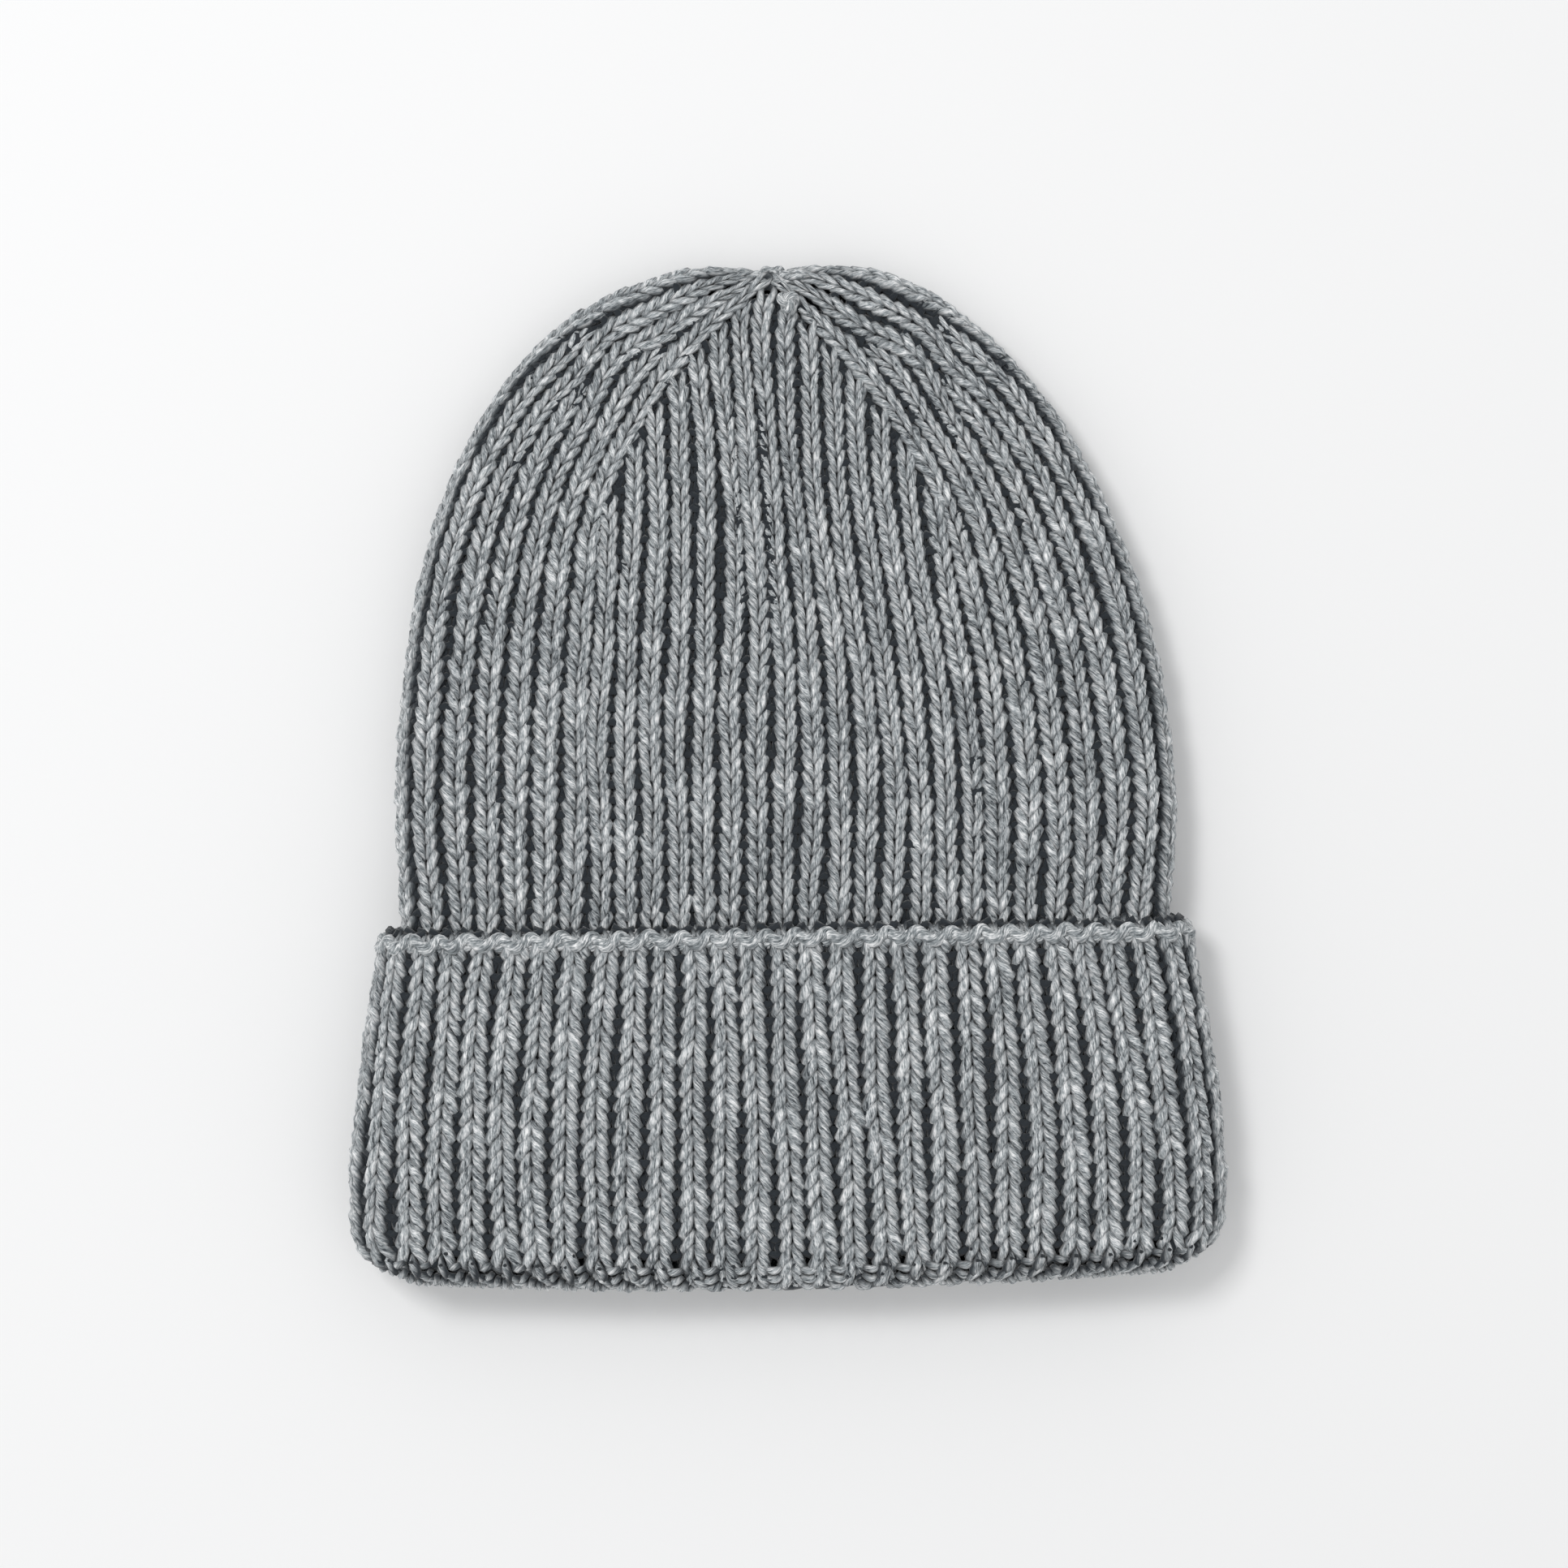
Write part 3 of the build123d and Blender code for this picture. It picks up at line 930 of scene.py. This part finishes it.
@dataclass
class Crown:
    """The shaped top: upright ribs front and back, and side ribs that follow the outline."""

    base_y: float
    tip_y: float
    base_top: float          # levels of the crown's faces where it leaves the cuff
    base_under: float
    tip_top: float = 13.5
    tip_under: float = 1.5
    rest: float = 0.1        # level of the back where it lies on the surface
    fall_y: float = 30.0     # from here the front face falls to the tip
    lift_y: float = 98.0     # from here the back face lifts to the tip
    widest: float = 93.3
    start_wide: float = 92.0
    shoulder_y: float = -12.0
    power: float = 0.4
    overrun: float = 1.0
    # (x, y) of the decrease line and of the silhouette's last points, (y, x) of the crown's lean
    decrease: tuple = ((46.9, -37.0), (45.4, 20.0), (41.0, 58.0), (34.0, 75.0), (22.0, 93.0),
                       (13.0, 103.5), (6.0, 110.5), (1.6, 116.5))
    gathered: tuple = ((6.0, 119.4), (1.4, 117.8))
    askew: tuple = ((-37.0, 0.2), (-9.0, 1.0), (25.0, 0.6), (49.0, -0.5), (72.0, -1.7),
                    (95.0, -2.3), (106.0, -2.4), (114.0, -1.0), (122.0, 0.0))
    upright: int = 7         # upright ribs each side of the middle one
    side_ribs: int = 7       # side ribs on each face
    dropped: tuple = ((1, 0.76), (3, 0.66), (5, 0.71))  # side ribs worked away, and where
    low_pitch: float = 6.27
    high_pitch: float = 5.35
    pitch_y: float = 75.0    # where the upright ribs are down to the high pitch
    samples: int = 120
    drift: float = 0.42
    side_drift: float = 0.045
    wave: float = 0.5
    side_wave: float = 0.45
    crease: Crease = Crease()

    def outline(self, y: np.ndarray) -> np.ndarray:
        """Outer half width at a height."""
        rise = smooth_step((y - self.base_y) / (self.shoulder_y - self.base_y))
        low = self.start_wide + (self.widest - self.start_wide) * rise
        far = np.clip((y - self.shoulder_y) / (self.tip_y + self.overrun - self.shoulder_y), 0, 1)
        return np.where(y < self.shoulder_y, low, self.widest * (1 - far * far) ** self.power)

    def faces(self, y: np.ndarray) -> tuple[np.ndarray, np.ndarray]:
        """Give the level halfway through the crown, and from there to a fabric's middle."""
        fall = smooth_step((y - self.fall_y) / (self.tip_y - self.fall_y))
        top = self.base_top + (self.tip_top - self.base_top) * fall
        drop = smooth_step((y - self.base_y) / (0.0 - self.base_y))
        lift = smooth_step((y - self.lift_y) / (self.tip_y - self.lift_y))
        under = (self.base_under + (self.rest - self.base_under) * drop
                 + (self.tip_under - self.rest) * lift)
        return (top + under) / 2, (top - under) / 2 - FABRIC / 2

    def lean(self, y: np.ndarray) -> np.ndarray:
        """Sideways shift of the crown, which lies a little askew."""
        return np.interp(y, *np.array(self.askew).T)

    def edges(self) -> tuple[np.ndarray, np.ndarray]:
        """Draw the two lines that bound the right side gore on one face.

        Returns:
            The decrease line and the middle of the fabric at the silhouette, in plan, with points
            at even shares of their lengths.
        """
        inner = eased(self.decrease, self.samples, 60)
        turn = np.linspace(0, math.pi / 2, 400)
        y = self.base_y + (self.tip_y - self.base_y) * np.sin(turn)
        line = spread(np.stack([self.outline(y), y], axis=1), 400)
        ahead = unit(np.gradient(line, axis=0))
        line = line + np.stack([-ahead[:, 1], ahead[:, 0]], axis=1) * (FABRIC / 2)
        line = np.concatenate([line[line[:, 0] > 12], self.gathered])
        return inner, eased(line, self.samples, 3)

    def side_rib(self, share: np.ndarray, mirror: float, face: float) -> tuple[np.ndarray, ...]:
        """Find a side rib's line.

        Args:
            share: Its place from the decrease line, 0, to the silhouette, 1, at each sample.
            mirror: 1 for the right gore, -1 for the left.
            face: 1 for the front face, -1 for the back.

        Returns:
            Points, outward directions and the gore's width at each point.
        """
        inner, outer = self.edges()
        gap = outer - inner
        wide = np.linalg.norm(gap, axis=1)
        radius = np.minimum(self.faces(inner[:, 1] + gap[:, 1] * share)[1], wide)
        flat = wide - radius
        length = flat + math.pi / 2 * radius
        along = share * length
        angle = np.clip((along - flat) / radius, 0, math.pi / 2)
        sin, cos = np.sin(angle), np.cos(angle)
        way = gap / wide[:, None]
        spot = inner + way * np.where(along < flat, along, flat + radius * sin)[:, None]
        x, y = spot[:, 0], spot[:, 1]
        middle, half = self.faces(y)
        wave = np.sin(y / 15.0 + 9.0 * share + mirror) + (face < 0)
        z = middle + face * half * cos + self.side_wave * cos * wave
        out = np.stack([mirror * way[:, 0] * sin, way[:, 1] * sin, face * cos], axis=1)
        return np.stack([mirror * x + self.lean(y), y, z], axis=1), out, length

    def side(self, mirror: float, seed: int) -> StitchField:
        """Lay the stitches of one side gore, front face and back face.

        Args:
            mirror: 1 for the right gore, -1 for the left.
            seed: Changes the mix of loops.

        Returns:
            The filled field.
        """
        stitches = StitchField(seed=seed, course=3.75)
        tau = np.linspace(0, 1, self.samples)
        low = tau < 0.9      # the hidden loops stop short of the gather
        room = np.ones((self.side_ribs, len(tau)))      # each rib's width, as a share
        for k, start in self.dropped:
            room[k] -= smooth_step((tau - start) / 0.1)
        before = np.cumsum(room, axis=0) - room
        total = room.sum(axis=0)
        for face in (1.0, -1.0):
            for k, own in enumerate(room):
                drift = wander(k + 7 * face + 3 * mirror, tau * 170, self.side_drift)
                drift = drift * (1 - tau ** 3)
                for half, shape, base, sign in ((0.5, Shape.FACE, FACE_BASE, 1.0),
                                                (0.0, Shape.REVERSE, REVERSE_BASE, -1.0)):
                    share = np.clip((before[k] + half * own + drift) / total, 0.005, 1.0)
                    points, out, length = self.side_rib(share, mirror, face)
                    pitch = length / total * (0.4 + 0.6 * own)
                    points = points - out * (1 - own)[:, None]   # a dropped rib sinks
                    keep = own > 0.12
                    if shape is Shape.REVERSE:
                        keep &= low
                    stitches.column(points[keep], sign * out[keep], pitch[keep], shape, base)
        points, out, length = self.side_rib(np.ones(len(tau)), mirror, 1.0)
        stitches.column(points[low], -out[low], (length / total)[low], Shape.REVERSE, REVERSE_BASE)
        return stitches

    def upright_zone(self, face: float, seed: int) -> StitchField:
        """Lay the stitches of the front or back gore.

        Args:
            face: 1 for the front, -1 for the back.
            seed: Changes the mix of loops.

        Returns:
            The filled field.
        """
        stitches = StitchField(seed=seed)
        inner, _ = self.edges()
        for number in np.arange(-self.upright, self.upright + 0.5, 0.5):
            shape, base, sign = (Shape.FACE, FACE_BASE, 1.0) if number % 1 == 0 else (
                Shape.REVERSE, REVERSE_BASE, -1.0)
            y = np.linspace(self.base_y, self.tip_y - 8, 200)
            pitch = self.low_pitch + (self.high_pitch - self.low_pitch) * smooth_step(
                y / self.pitch_y)
            x = number * pitch + wander(number, y, self.drift)
            keep = np.abs(x) < np.interp(y, inner[:, 1], inner[:, 0]) + 0.4
            end = int(np.argmin(keep)) if not keep.all() else len(y)
            if end < 12:
                continue
            y, x, pitch = y[:end], x[:end], pitch[:end]
            middle, half = self.faces(y)
            z = middle + face * half
            z = z + face * self.wave * (np.sin(y / 19.0 + 0.9 * number) - (face < 0))
            if face > 0:
                lift, push = self.crease.bend(x, y)
                x, z = x + push, z + lift
            path = np.stack([x + self.lean(y), y, z], axis=1)
            out = unit(np.stack([0 * y, -face * np.gradient(z, y), 0 * y + 1], axis=1)) * face
            stitches.column(path, sign * out, pitch, shape, base)
        return stitches


@dataclass
class FoldRoll:
    """The bottom fold, where every rib turns from the cuff into the band."""

    cuff: CuffTube
    band: BandTube
    hinge_y: float
    corner: float = 13.0     # plan radius of the fold's corners
    corner_x: float = 84.0   # where they start
    depth: float = 2.65      # greatest half thickness of the roll
    straight: float = 1.8    # how far the fold's ribs go on above the hinge, up to the flat parts
    squeeze: float = 0.86    # width of the loops here, as a share of the usual
    purl_base: float = 1.3
    samples: int = 24

    def line(self, rib: float) -> tuple[np.ndarray, np.ndarray, np.ndarray]:
        """Find a rib's way round the fold.

        Args:
            rib: The rib's number.

        Returns:
            Points from the cuff to the band, outward directions and widths of the loops.
        """
        y = np.full(2, self.hinge_y)
        start, _, pitch = self.cuff.place(rib, y)
        a, b = start[0], self.band.place(rib, y)[0][0]
        middle, half = (a + b) / 2, (a - b) / 2
        past = min(1.0, max(0.0, (abs(middle[0]) - self.corner_x) / self.corner))
        rise = self.corner * (1 - math.cos(math.asin(past)))
        angle = np.linspace(0, math.pi, self.samples)
        cos, sin = np.cos(angle)[:, None], np.sin(angle)[:, None]
        down = np.array([0.0, -1.0, 0.0])
        points = middle + cos * half + sin * down * (min(np.linalg.norm(half), self.depth) + 0.1)
        points[:, 1] += rise * np.sin(angle / 2 + math.pi / 4) ** 2
        out = cos * unit(half) + sin * down
        up = -down * self.straight
        points = np.concatenate([points[:1] + up, points, points[-1:] + up])
        out = np.concatenate([out[:1], out, out[-1:]])
        return points, out, np.full(len(out), float(pitch[0])) * self.squeeze

    def zone(self, ribs: range, seed: int) -> StitchField:
        """Lay the stitches of one fold: ribs round the outside and purl bumps between them."""
        stitches = StitchField(seed=seed)
        for rib in ribs:
            stitches.column(*self.line(rib), Shape.FACE, FACE_BASE, stretch=0.6, swell=0.85)
            stitches.column(*self.line(rib + 0.5), Shape.PURL, self.purl_base, stretch=0.5)
        return stitches


# --- small pieces --------------------------------------------------------------------------------

@dataclass
class CastOnEdge:
    """The cast-on row: one strand that zigzags from rib to rib on each side of the fabric."""

    cuff: CuffTube
    y: float
    strand: float = 1.6      # radius of the strand
    throw: float = 0.85      # half of the zigzag's height
    away: tuple[float, float] = (0.95, -1.1)    # how far out each strand lies
    per_rib: int = 12        # points along the strand for each rib

    def mesh(self, name: str, ribs: range, seed: int) -> bpy.types.Mesh:
        """Make one zone's edge.

        Args:
            name: The mesh's name.
            ribs: The ribs it joins.
            seed: Changes how even the twist is.

        Returns:
            The edge's mesh.
        """
        number = np.arange(ribs[0] - 0.5, ribs[-1] + 0.5 + 1e-6, 1 / self.per_rib)
        y = np.array([self.y, self.y])
        places = [self.cuff.place(float(rib), y) for rib in number]
        spot, out = (np.array([place[k][0] for place in places]) for k in (0, 1))
        wave = np.random.default_rng(seed).uniform(0, 6.28)
        tubes = []
        for turn, away in zip((0.0, math.pi), self.away):
            angle = FULL_TURN * number + turn + 0.3 * np.sin(number * 1.3 + wave)
            line = spot + out * (away + 0.5 * np.cos(angle))[:, None]
            line[:, 1] -= self.throw * np.cos(angle) + 0.2 * np.sin(number * 2.2 + wave)
            tubes.append(tube(line, self.strand * (1 + 0.12 * np.cos(2 * angle)), 8))
        return yarn_mesh(name, tubes)


@dataclass
class Closing:
    """The yarn end that draws the crown shut, and the knot that holds it."""

    ring: Sequence[float]    # the ring's centre
    knot: Sequence[float]    # the knot's centre
    yarn: float = 1.2
    radius: float = 2.0      # of the ring
    strands: int = 11        # gathered strands

    def drawn_mesh(self) -> bpy.types.Mesh:
        """Make the drawn ring and the short strands that it gathers."""
        centre = np.array(self.ring)
        angle = np.linspace(0, FULL_TURN, 40)
        ring = np.stack([self.radius * np.cos(angle), 0.3 * np.sin(3 * angle) - 0.4,
                         self.radius * np.sin(angle)], axis=1)
        tubes = [tube(centre + ring, self.yarn * 0.8, 8)]
        for k, spin in enumerate(np.linspace(0.2, FULL_TURN - 0.3, self.strands)):
            cos, sin = math.cos(spin), math.sin(spin)
            start = centre + [1.5 * cos, -0.2, 1.5 * sin]
            end = centre + [(3.4 + 0.4 * (k % 3)) * cos, -4.0 - 0.5 * (k % 2), 3.1 * sin]
            middle = (start + end) / 2 + [0.3 * cos, 1.2, 0.4 * sin]
            tubes.append(tube(eased([start, middle, end], 9, 4), self.yarn * 0.7, 7))
        return yarn_mesh("closing_yarn_drawn", tubes)

    def knot_mesh(self) -> bpy.types.Mesh:
        """Make the overhand knot, its yarn pulled into a plump lump."""
        t = np.append(np.linspace(0, FULL_TURN, 72, endpoint=False), FULL_TURN)
        line = np.stack([np.sin(t) + 1.7 * np.sin(2 * t), np.cos(t) - 1.7 * np.cos(2 * t),
                         -1.1 * np.sin(3 * t)], axis=1) * 0.72 + np.array(self.knot)
        return yarn_mesh("closing_knot_tied", [tube(line, self.yarn * 0.82, 9)])


@dataclass
class BackSeam:
    """The seam that closes the tube, a row of linked loops along the inside of the back."""

    low: tuple[float, float, float]
    high: tuple[float, float, float]
    step: float = 3.6
    overlap: float = 0.72    # each loop starts within the last one, at this share of a step
    half_width: float = 1.05
    half_length: float = 1.9
    yarn: float = 0.42       # radius
    ends: tuple[float, float] = (1.6, 2.2)      # room kept at the two ends

    def mesh(self) -> bpy.types.Mesh:
        """Make the seam's loops."""
        x, _, z = ((a + b) / 2 for a, b in zip(self.low, self.high))
        t = np.linspace(0, FULL_TURN, 13)
        tubes = []
        y = self.low[1] + self.ends[0]
        while y < self.high[1] - self.ends[1]:
            line = np.stack([x + self.half_width * np.sin(t), y + self.half_length * np.cos(t),
                             z + 0.12 * np.sin(2 * t)], axis=1)
            tubes.append(tube(line, self.yarn, 6))
            y += self.step * self.overlap
        return yarn_mesh("back_seam_yarn", tubes)


@dataclass
class CareLabel:
    """A blank care label: a length of ribbon folded in two and sewn in by its ends."""

    low: tuple[float, float, float]
    high: tuple[float, float, float]
    ply: float = 0.22        # thickness of the ribbon
    gap: float = 0.02        # room above and below it
    margin: float = 0.05     # room at its sides
    closed: float = 12.0     # from the sewn ends, where the two halves lie close, to where not
    columns: int = 15

    def mesh(self) -> bpy.types.Mesh:
        """Make the folded ribbon as one closed thin sheet."""
        sewn, end = self.high[1], self.low[1]
        bottom = self.low[2] + self.ply / 2 + self.gap
        top = self.high[2] - self.ply / 2 - self.gap
        middle, half = (bottom + top) / 2, (top - bottom) / 2
        flat = np.linspace(sewn, end + half, 26)
        turn = np.linspace(0, math.pi, 8)[1:-1]
        y = np.concatenate([flat, end + half - half * np.sin(turn), flat[::-1]])
        ease = half * (smooth_step((sewn - flat) / self.closed) * 0.5 + 0.5)
        z = middle + np.concatenate([ease, half * np.cos(turn), -ease[::-1]])
        line = np.stack([0 * y, y, z], axis=1)
        ahead = unit(np.gradient(line, axis=0))
        up = np.stack([0 * y, -ahead[:, 2], ahead[:, 1]], axis=1) * self.ply / 2
        rows, cols = len(line), self.columns
        shift = rows * cols
        sides, faces = [], []
        for s, skin in enumerate((line + up, line - up)):
            grid = np.repeat(skin[:, None, :], cols, axis=1)
            grid[:, :, 0] = np.linspace(self.low[0] + self.margin, self.high[0] - self.margin, cols)
            sides.append(grid.reshape(-1, 3))
            for r in range(rows - 1):
                for a in range(s * shift + r * cols, s * shift + (r + 1) * cols - 1):
                    quad = (a, a + 1, a + cols + 1, a + cols)
                    faces.append(quad if s else quad[::-1])
        rim = list(range(cols)) + [r * cols + cols - 1 for r in range(1, rows)]
        rim += list(range(shift - 2, shift - cols - 1, -1))
        rim += [r * cols for r in range(rows - 2, 0, -1)]
        faces += [(a, b, b + shift, a + shift) for a, b in zip(rim, rim[1:] + rim[:1])]
        mesh = bpy.data.meshes.new("care_label_ribbon")
        mesh.from_pydata((np.concatenate(sides) * MM).tolist(), [], faces)
        mesh.update()
        return mesh

    def stitches(self, low: Sequence[float], high: Sequence[float], count: int) -> bpy.types.Mesh:
        """Make the thread that sews the label's ends down.

        Args:
            low: Lowest corner of the row of stitches.
            high: Its highest corner.
            count: Stitches in the row.

        Returns:
            The stitches' mesh.
        """
        space, yarn = 0.6, 0.2      # room between stitches, as a share of one, and their radius
        each = (high[0] - low[0]) / (count + (count - 1) * space)
        t = np.linspace(0, 1, 9)
        y = np.full(9, (low[1] + high[1]) / 2)
        z = low[2] + (high[2] - low[2] - 0.25) * np.sin(math.pi * t) ** 0.5
        starts = [low[0] + k * each * (1 + space) for k in range(count)]
        return yarn_mesh("label_thread_stitches", [
            tube(np.stack([start + each * t, y, z], axis=1), yarn, 6) for start in starts])


# --- studio --------------------------------------------------------------------------------------

@dataclass
class Studio:
    """White paper, one soft light from the upper left, a wide faint one, and the camera above."""

    centre: tuple[float, float] = (0.0006, -0.0026)
    height: float = 1.046
    roll: float = -0.0176
    lens: float = 100.0
    sensor: float = 36.0
    paper: float = 3.0       # half of its side, in metres
    room: tuple[float, float, float, float] = (0.99, 0.995, 1.0, 1.0)
    room_strength: float = 0.69
    # name, place, power and size of each light
    lamps: tuple = (("soft_key", (-0.55, 0.5, 1.5), 9.6, 0.42),
                    ("wide_fill", (0.5, -0.3, 1.9), 0.8, 1.6))

    def floor(self) -> None:
        """Lay the paper."""
        mesh = bpy.data.meshes.new("studio_floor")
        mesh.from_pydata([(x * self.paper, y * self.paper, 0) for x, y in (
            (-1, -1), (1, -1), (1, 1), (-1, 1))], [], [(0, 1, 2, 3)])
        mesh.materials.append(StudioPaper().material())
        stand("studio_floor", mesh)

    def lights(self) -> None:
        """Hang the lights and set the room's own light."""
        for name, spot, power, size in self.lamps:
            lamp = bpy.data.lights.new(name, "AREA")
            lamp.energy, lamp.size = power, size
            made = stand(name, lamp)
            made.location = spot
            made.rotation_euler = (-Vector(spot)).to_track_quat("-Z", "Y").to_euler()
        world = bpy.context.scene.world or bpy.data.worlds.new("room")
        bpy.context.scene.world = world
        world.use_nodes = True
        tree = world.node_tree
        tree.nodes.clear()
        sky = add(tree, "ShaderNodeBackground", Color=self.room, Strength=self.room_strength)
        add(tree, "ShaderNodeOutputWorld", Surface=sky.outputs[0])

    def camera(self) -> None:
        """Set the camera up."""
        lens = bpy.data.cameras.new("camera")
        lens.lens, lens.sensor_width = self.lens, self.sensor
        made = stand("camera", lens)
        made.location = (*self.centre, self.height)
        made.rotation_euler = (0.0, 0.0, self.roll)
        bpy.context.scene.camera = made
        bpy.context.scene.view_settings.view_transform = "Standard"


# --- the hat -------------------------------------------------------------------------------------

@dataclass
class Beanie:
    """The whole hat, zone by zone."""

    shop: Workshop

    def __post_init__(self) -> None:
        """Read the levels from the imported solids."""
        self.hinge_y = frame["joints"][0]["pos_m"][1] / MM
        low_y = self.hinge_y + FoldRoll.straight
        edge_y = corners("cuff_front_cast_on")[1][1]
        under, over = corners("band_back")[0][2], corners("band_front")[1][2]
        top = max(corners("cuff_front")[1][2], corners("cuff_left")[1][2])
        self.cuff = CuffTube(top / 2, top / 2, low_y, edge_y - 0.7, knitted_up=False)
        self.band = BandTube((under + over) / 2, (over - under) / 2, low_y, edge_y, knitted_up=True)
        self.crown = Crown(edge_y, corners("crown_front_gore")[1][1], over, under)
        self.fold = FoldRoll(self.cuff, self.band, self.hinge_y)
        self.edge = CastOnEdge(self.cuff, edge_y - 1.7)

    def make_crown(self) -> None:
        """Knit the four gores."""
        gores = (("front", self.crown.upright_zone, 1.0), ("back", self.crown.upright_zone, -1.0),
                 ("right", self.crown.side, 1.0), ("left", self.crown.side, -1.0))
        for k, (side, lay, way) in enumerate(gores):
            made = self.shop.knit(f"knit_crown_{side}", lay(way, 3 + k), 31 + k)
            hand_over(made, "knit_body", "rib_knit", f"crown_{side}_gore")

    def make_band(self) -> None:
        """Knit the band in its four zones."""
        for k, (side, ribs) in enumerate(BAND_ZONES.items()):
            made = self.shop.knit(f"knit_band_{side}", self.band.zone(ribs, 11 + k), 41 + k)
            hand_over(made, "knit_body", "rib_knit", f"band_{side}")

    def make_cuff(self) -> None:
        """Knit the cuff's panels and their cast-on edges."""
        for k, (side, ribs) in enumerate(CUFF_ZONES.items()):
            made = self.shop.knit(f"knit_cuff_{side}", self.cuff.zone(ribs, 21 + k), 51 + k)
            hand_over(made, f"cuff_{side}", "rib_knit", f"cuff_{side}")
            edge = self.edge.mesh(f"cast_on_edge_{side}", ribs, 61 + k)
            edge = self.shop.piece(edge, self.shop.edge_yarn)
            hand_over(edge, f"cuff_{side}", "cast_on_yarn", f"cuff_{side}_cast_on")
            if side in ("left", "right"):
                self.flatten(made)
                self.flatten(edge)

    def flatten(self, piece: bpy.types.Object) -> None:
        """Give a side piece its own copy of its mesh."""
        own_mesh(piece)

    def make_folds(self) -> None:
        """Knit the folds; the sides turn with their strips, front and back stay on no body."""
        for k, (side, ribs) in enumerate(CUFF_ZONES.items()):
            made = self.shop.knit(f"knit_fold_{side}", self.fold.zone(ribs, 71 + k), 81 + k)
            if side in ("left", "right"):
                hand_over(made, f"cuff_{side}", "rib_knit", f"fold_{side}")
                self.flatten(made)
                continue
            cuff_side, band_side = self.ends(side)
            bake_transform(made)
            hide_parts(f"fold_{side}")
            LOG.info("%s bends between knit_body and cuff_%s", made.name, side)

    def ends(self, side: str, outer: float = 25.6, inner: float = 19.3) -> list[tuple]:
        """Give the points where the front or back fold meets the cuff and the band.

        Args:
            side: "front" or "back".
            outer: Level at the cuff, in front.
            inner: Level at the band, in front.

        Returns:
            The two points, in metres.
        """
        levels = (outer, inner) if side == "front" else (
            2 * self.cuff.middle_z - outer, 2 * self.cuff.middle_z - inner)
        return [(0, self.hinge_y * MM, z * MM) for z in levels]

    def make_small_pieces(self) -> None:
        """Make the closing, the seam and the label."""
        shop = self.shop
        ring, knot = ([(a + b) / 2 for a, b in zip(*corners(node))]
                      for node in ("closing_yarn", "closing_knot"))
        knot[2] = corners("closing_knot")[1][2] - 1.6
        closing = Closing(ring, knot)
        low, high = corners("care_label")
        label = CareLabel(low, high)
        thread = label.stitches(*corners("label_thread"), 6)
        for mesh, finish, slot, node in (
                (closing.drawn_mesh(), shop.closing_yarn, "closing_yarn", "closing_yarn"),
                (closing.knot_mesh(), shop.closing_yarn, "closing_yarn", "closing_knot"),
                (BackSeam(*corners("back_seam")).mesh(), shop.seam_yarn, "seam_yarn", "back_seam"),
                (label.mesh(), shop.ribbon, "label_ribbon", "care_label"),
                (thread, shop.thread, "label_thread", "label_thread")):
            made = shop.piece(mesh, finish)
            hand_over(made, "knit_body", slot, node)


def main() -> None:
    """Build the hat and the studio."""
    logging.basicConfig(level=logging.INFO, format="%(name)s: %(message)s")
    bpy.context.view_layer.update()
    studio = Studio()
    studio.camera()
    studio.floor()
    studio.lights()
    shop = Workshop(
        tree=stitching_tree(), basket=StitchBasket().fill(),
        rib_yarn=MelangeYarn("melange_acrylic_wool_yarn").material(),
        edge_yarn=MelangeYarn("melange_cast_on_yarn", dark="43484C", middle="949A9D").material(),
        closing_yarn=MelangeYarn("melange_closing_yarn", middle="8E9497").material(),
        seam_yarn=MelangeYarn("melange_seam_yarn", dark="464B4F", middle="777D81").material(),
        ribbon=SatinRibbon().material(), thread=SewingThread().material())
    hat = Beanie(shop)
    hat.make_crown()
    hat.make_band()
    hat.make_cuff()
    hat.make_folds()
    hat.make_small_pieces()
    for loop in list(shop.basket.objects):
        bpy.data.objects.remove(loop)
    bpy.data.collections.remove(shop.basket)


if __name__ == "__main__":
    main()
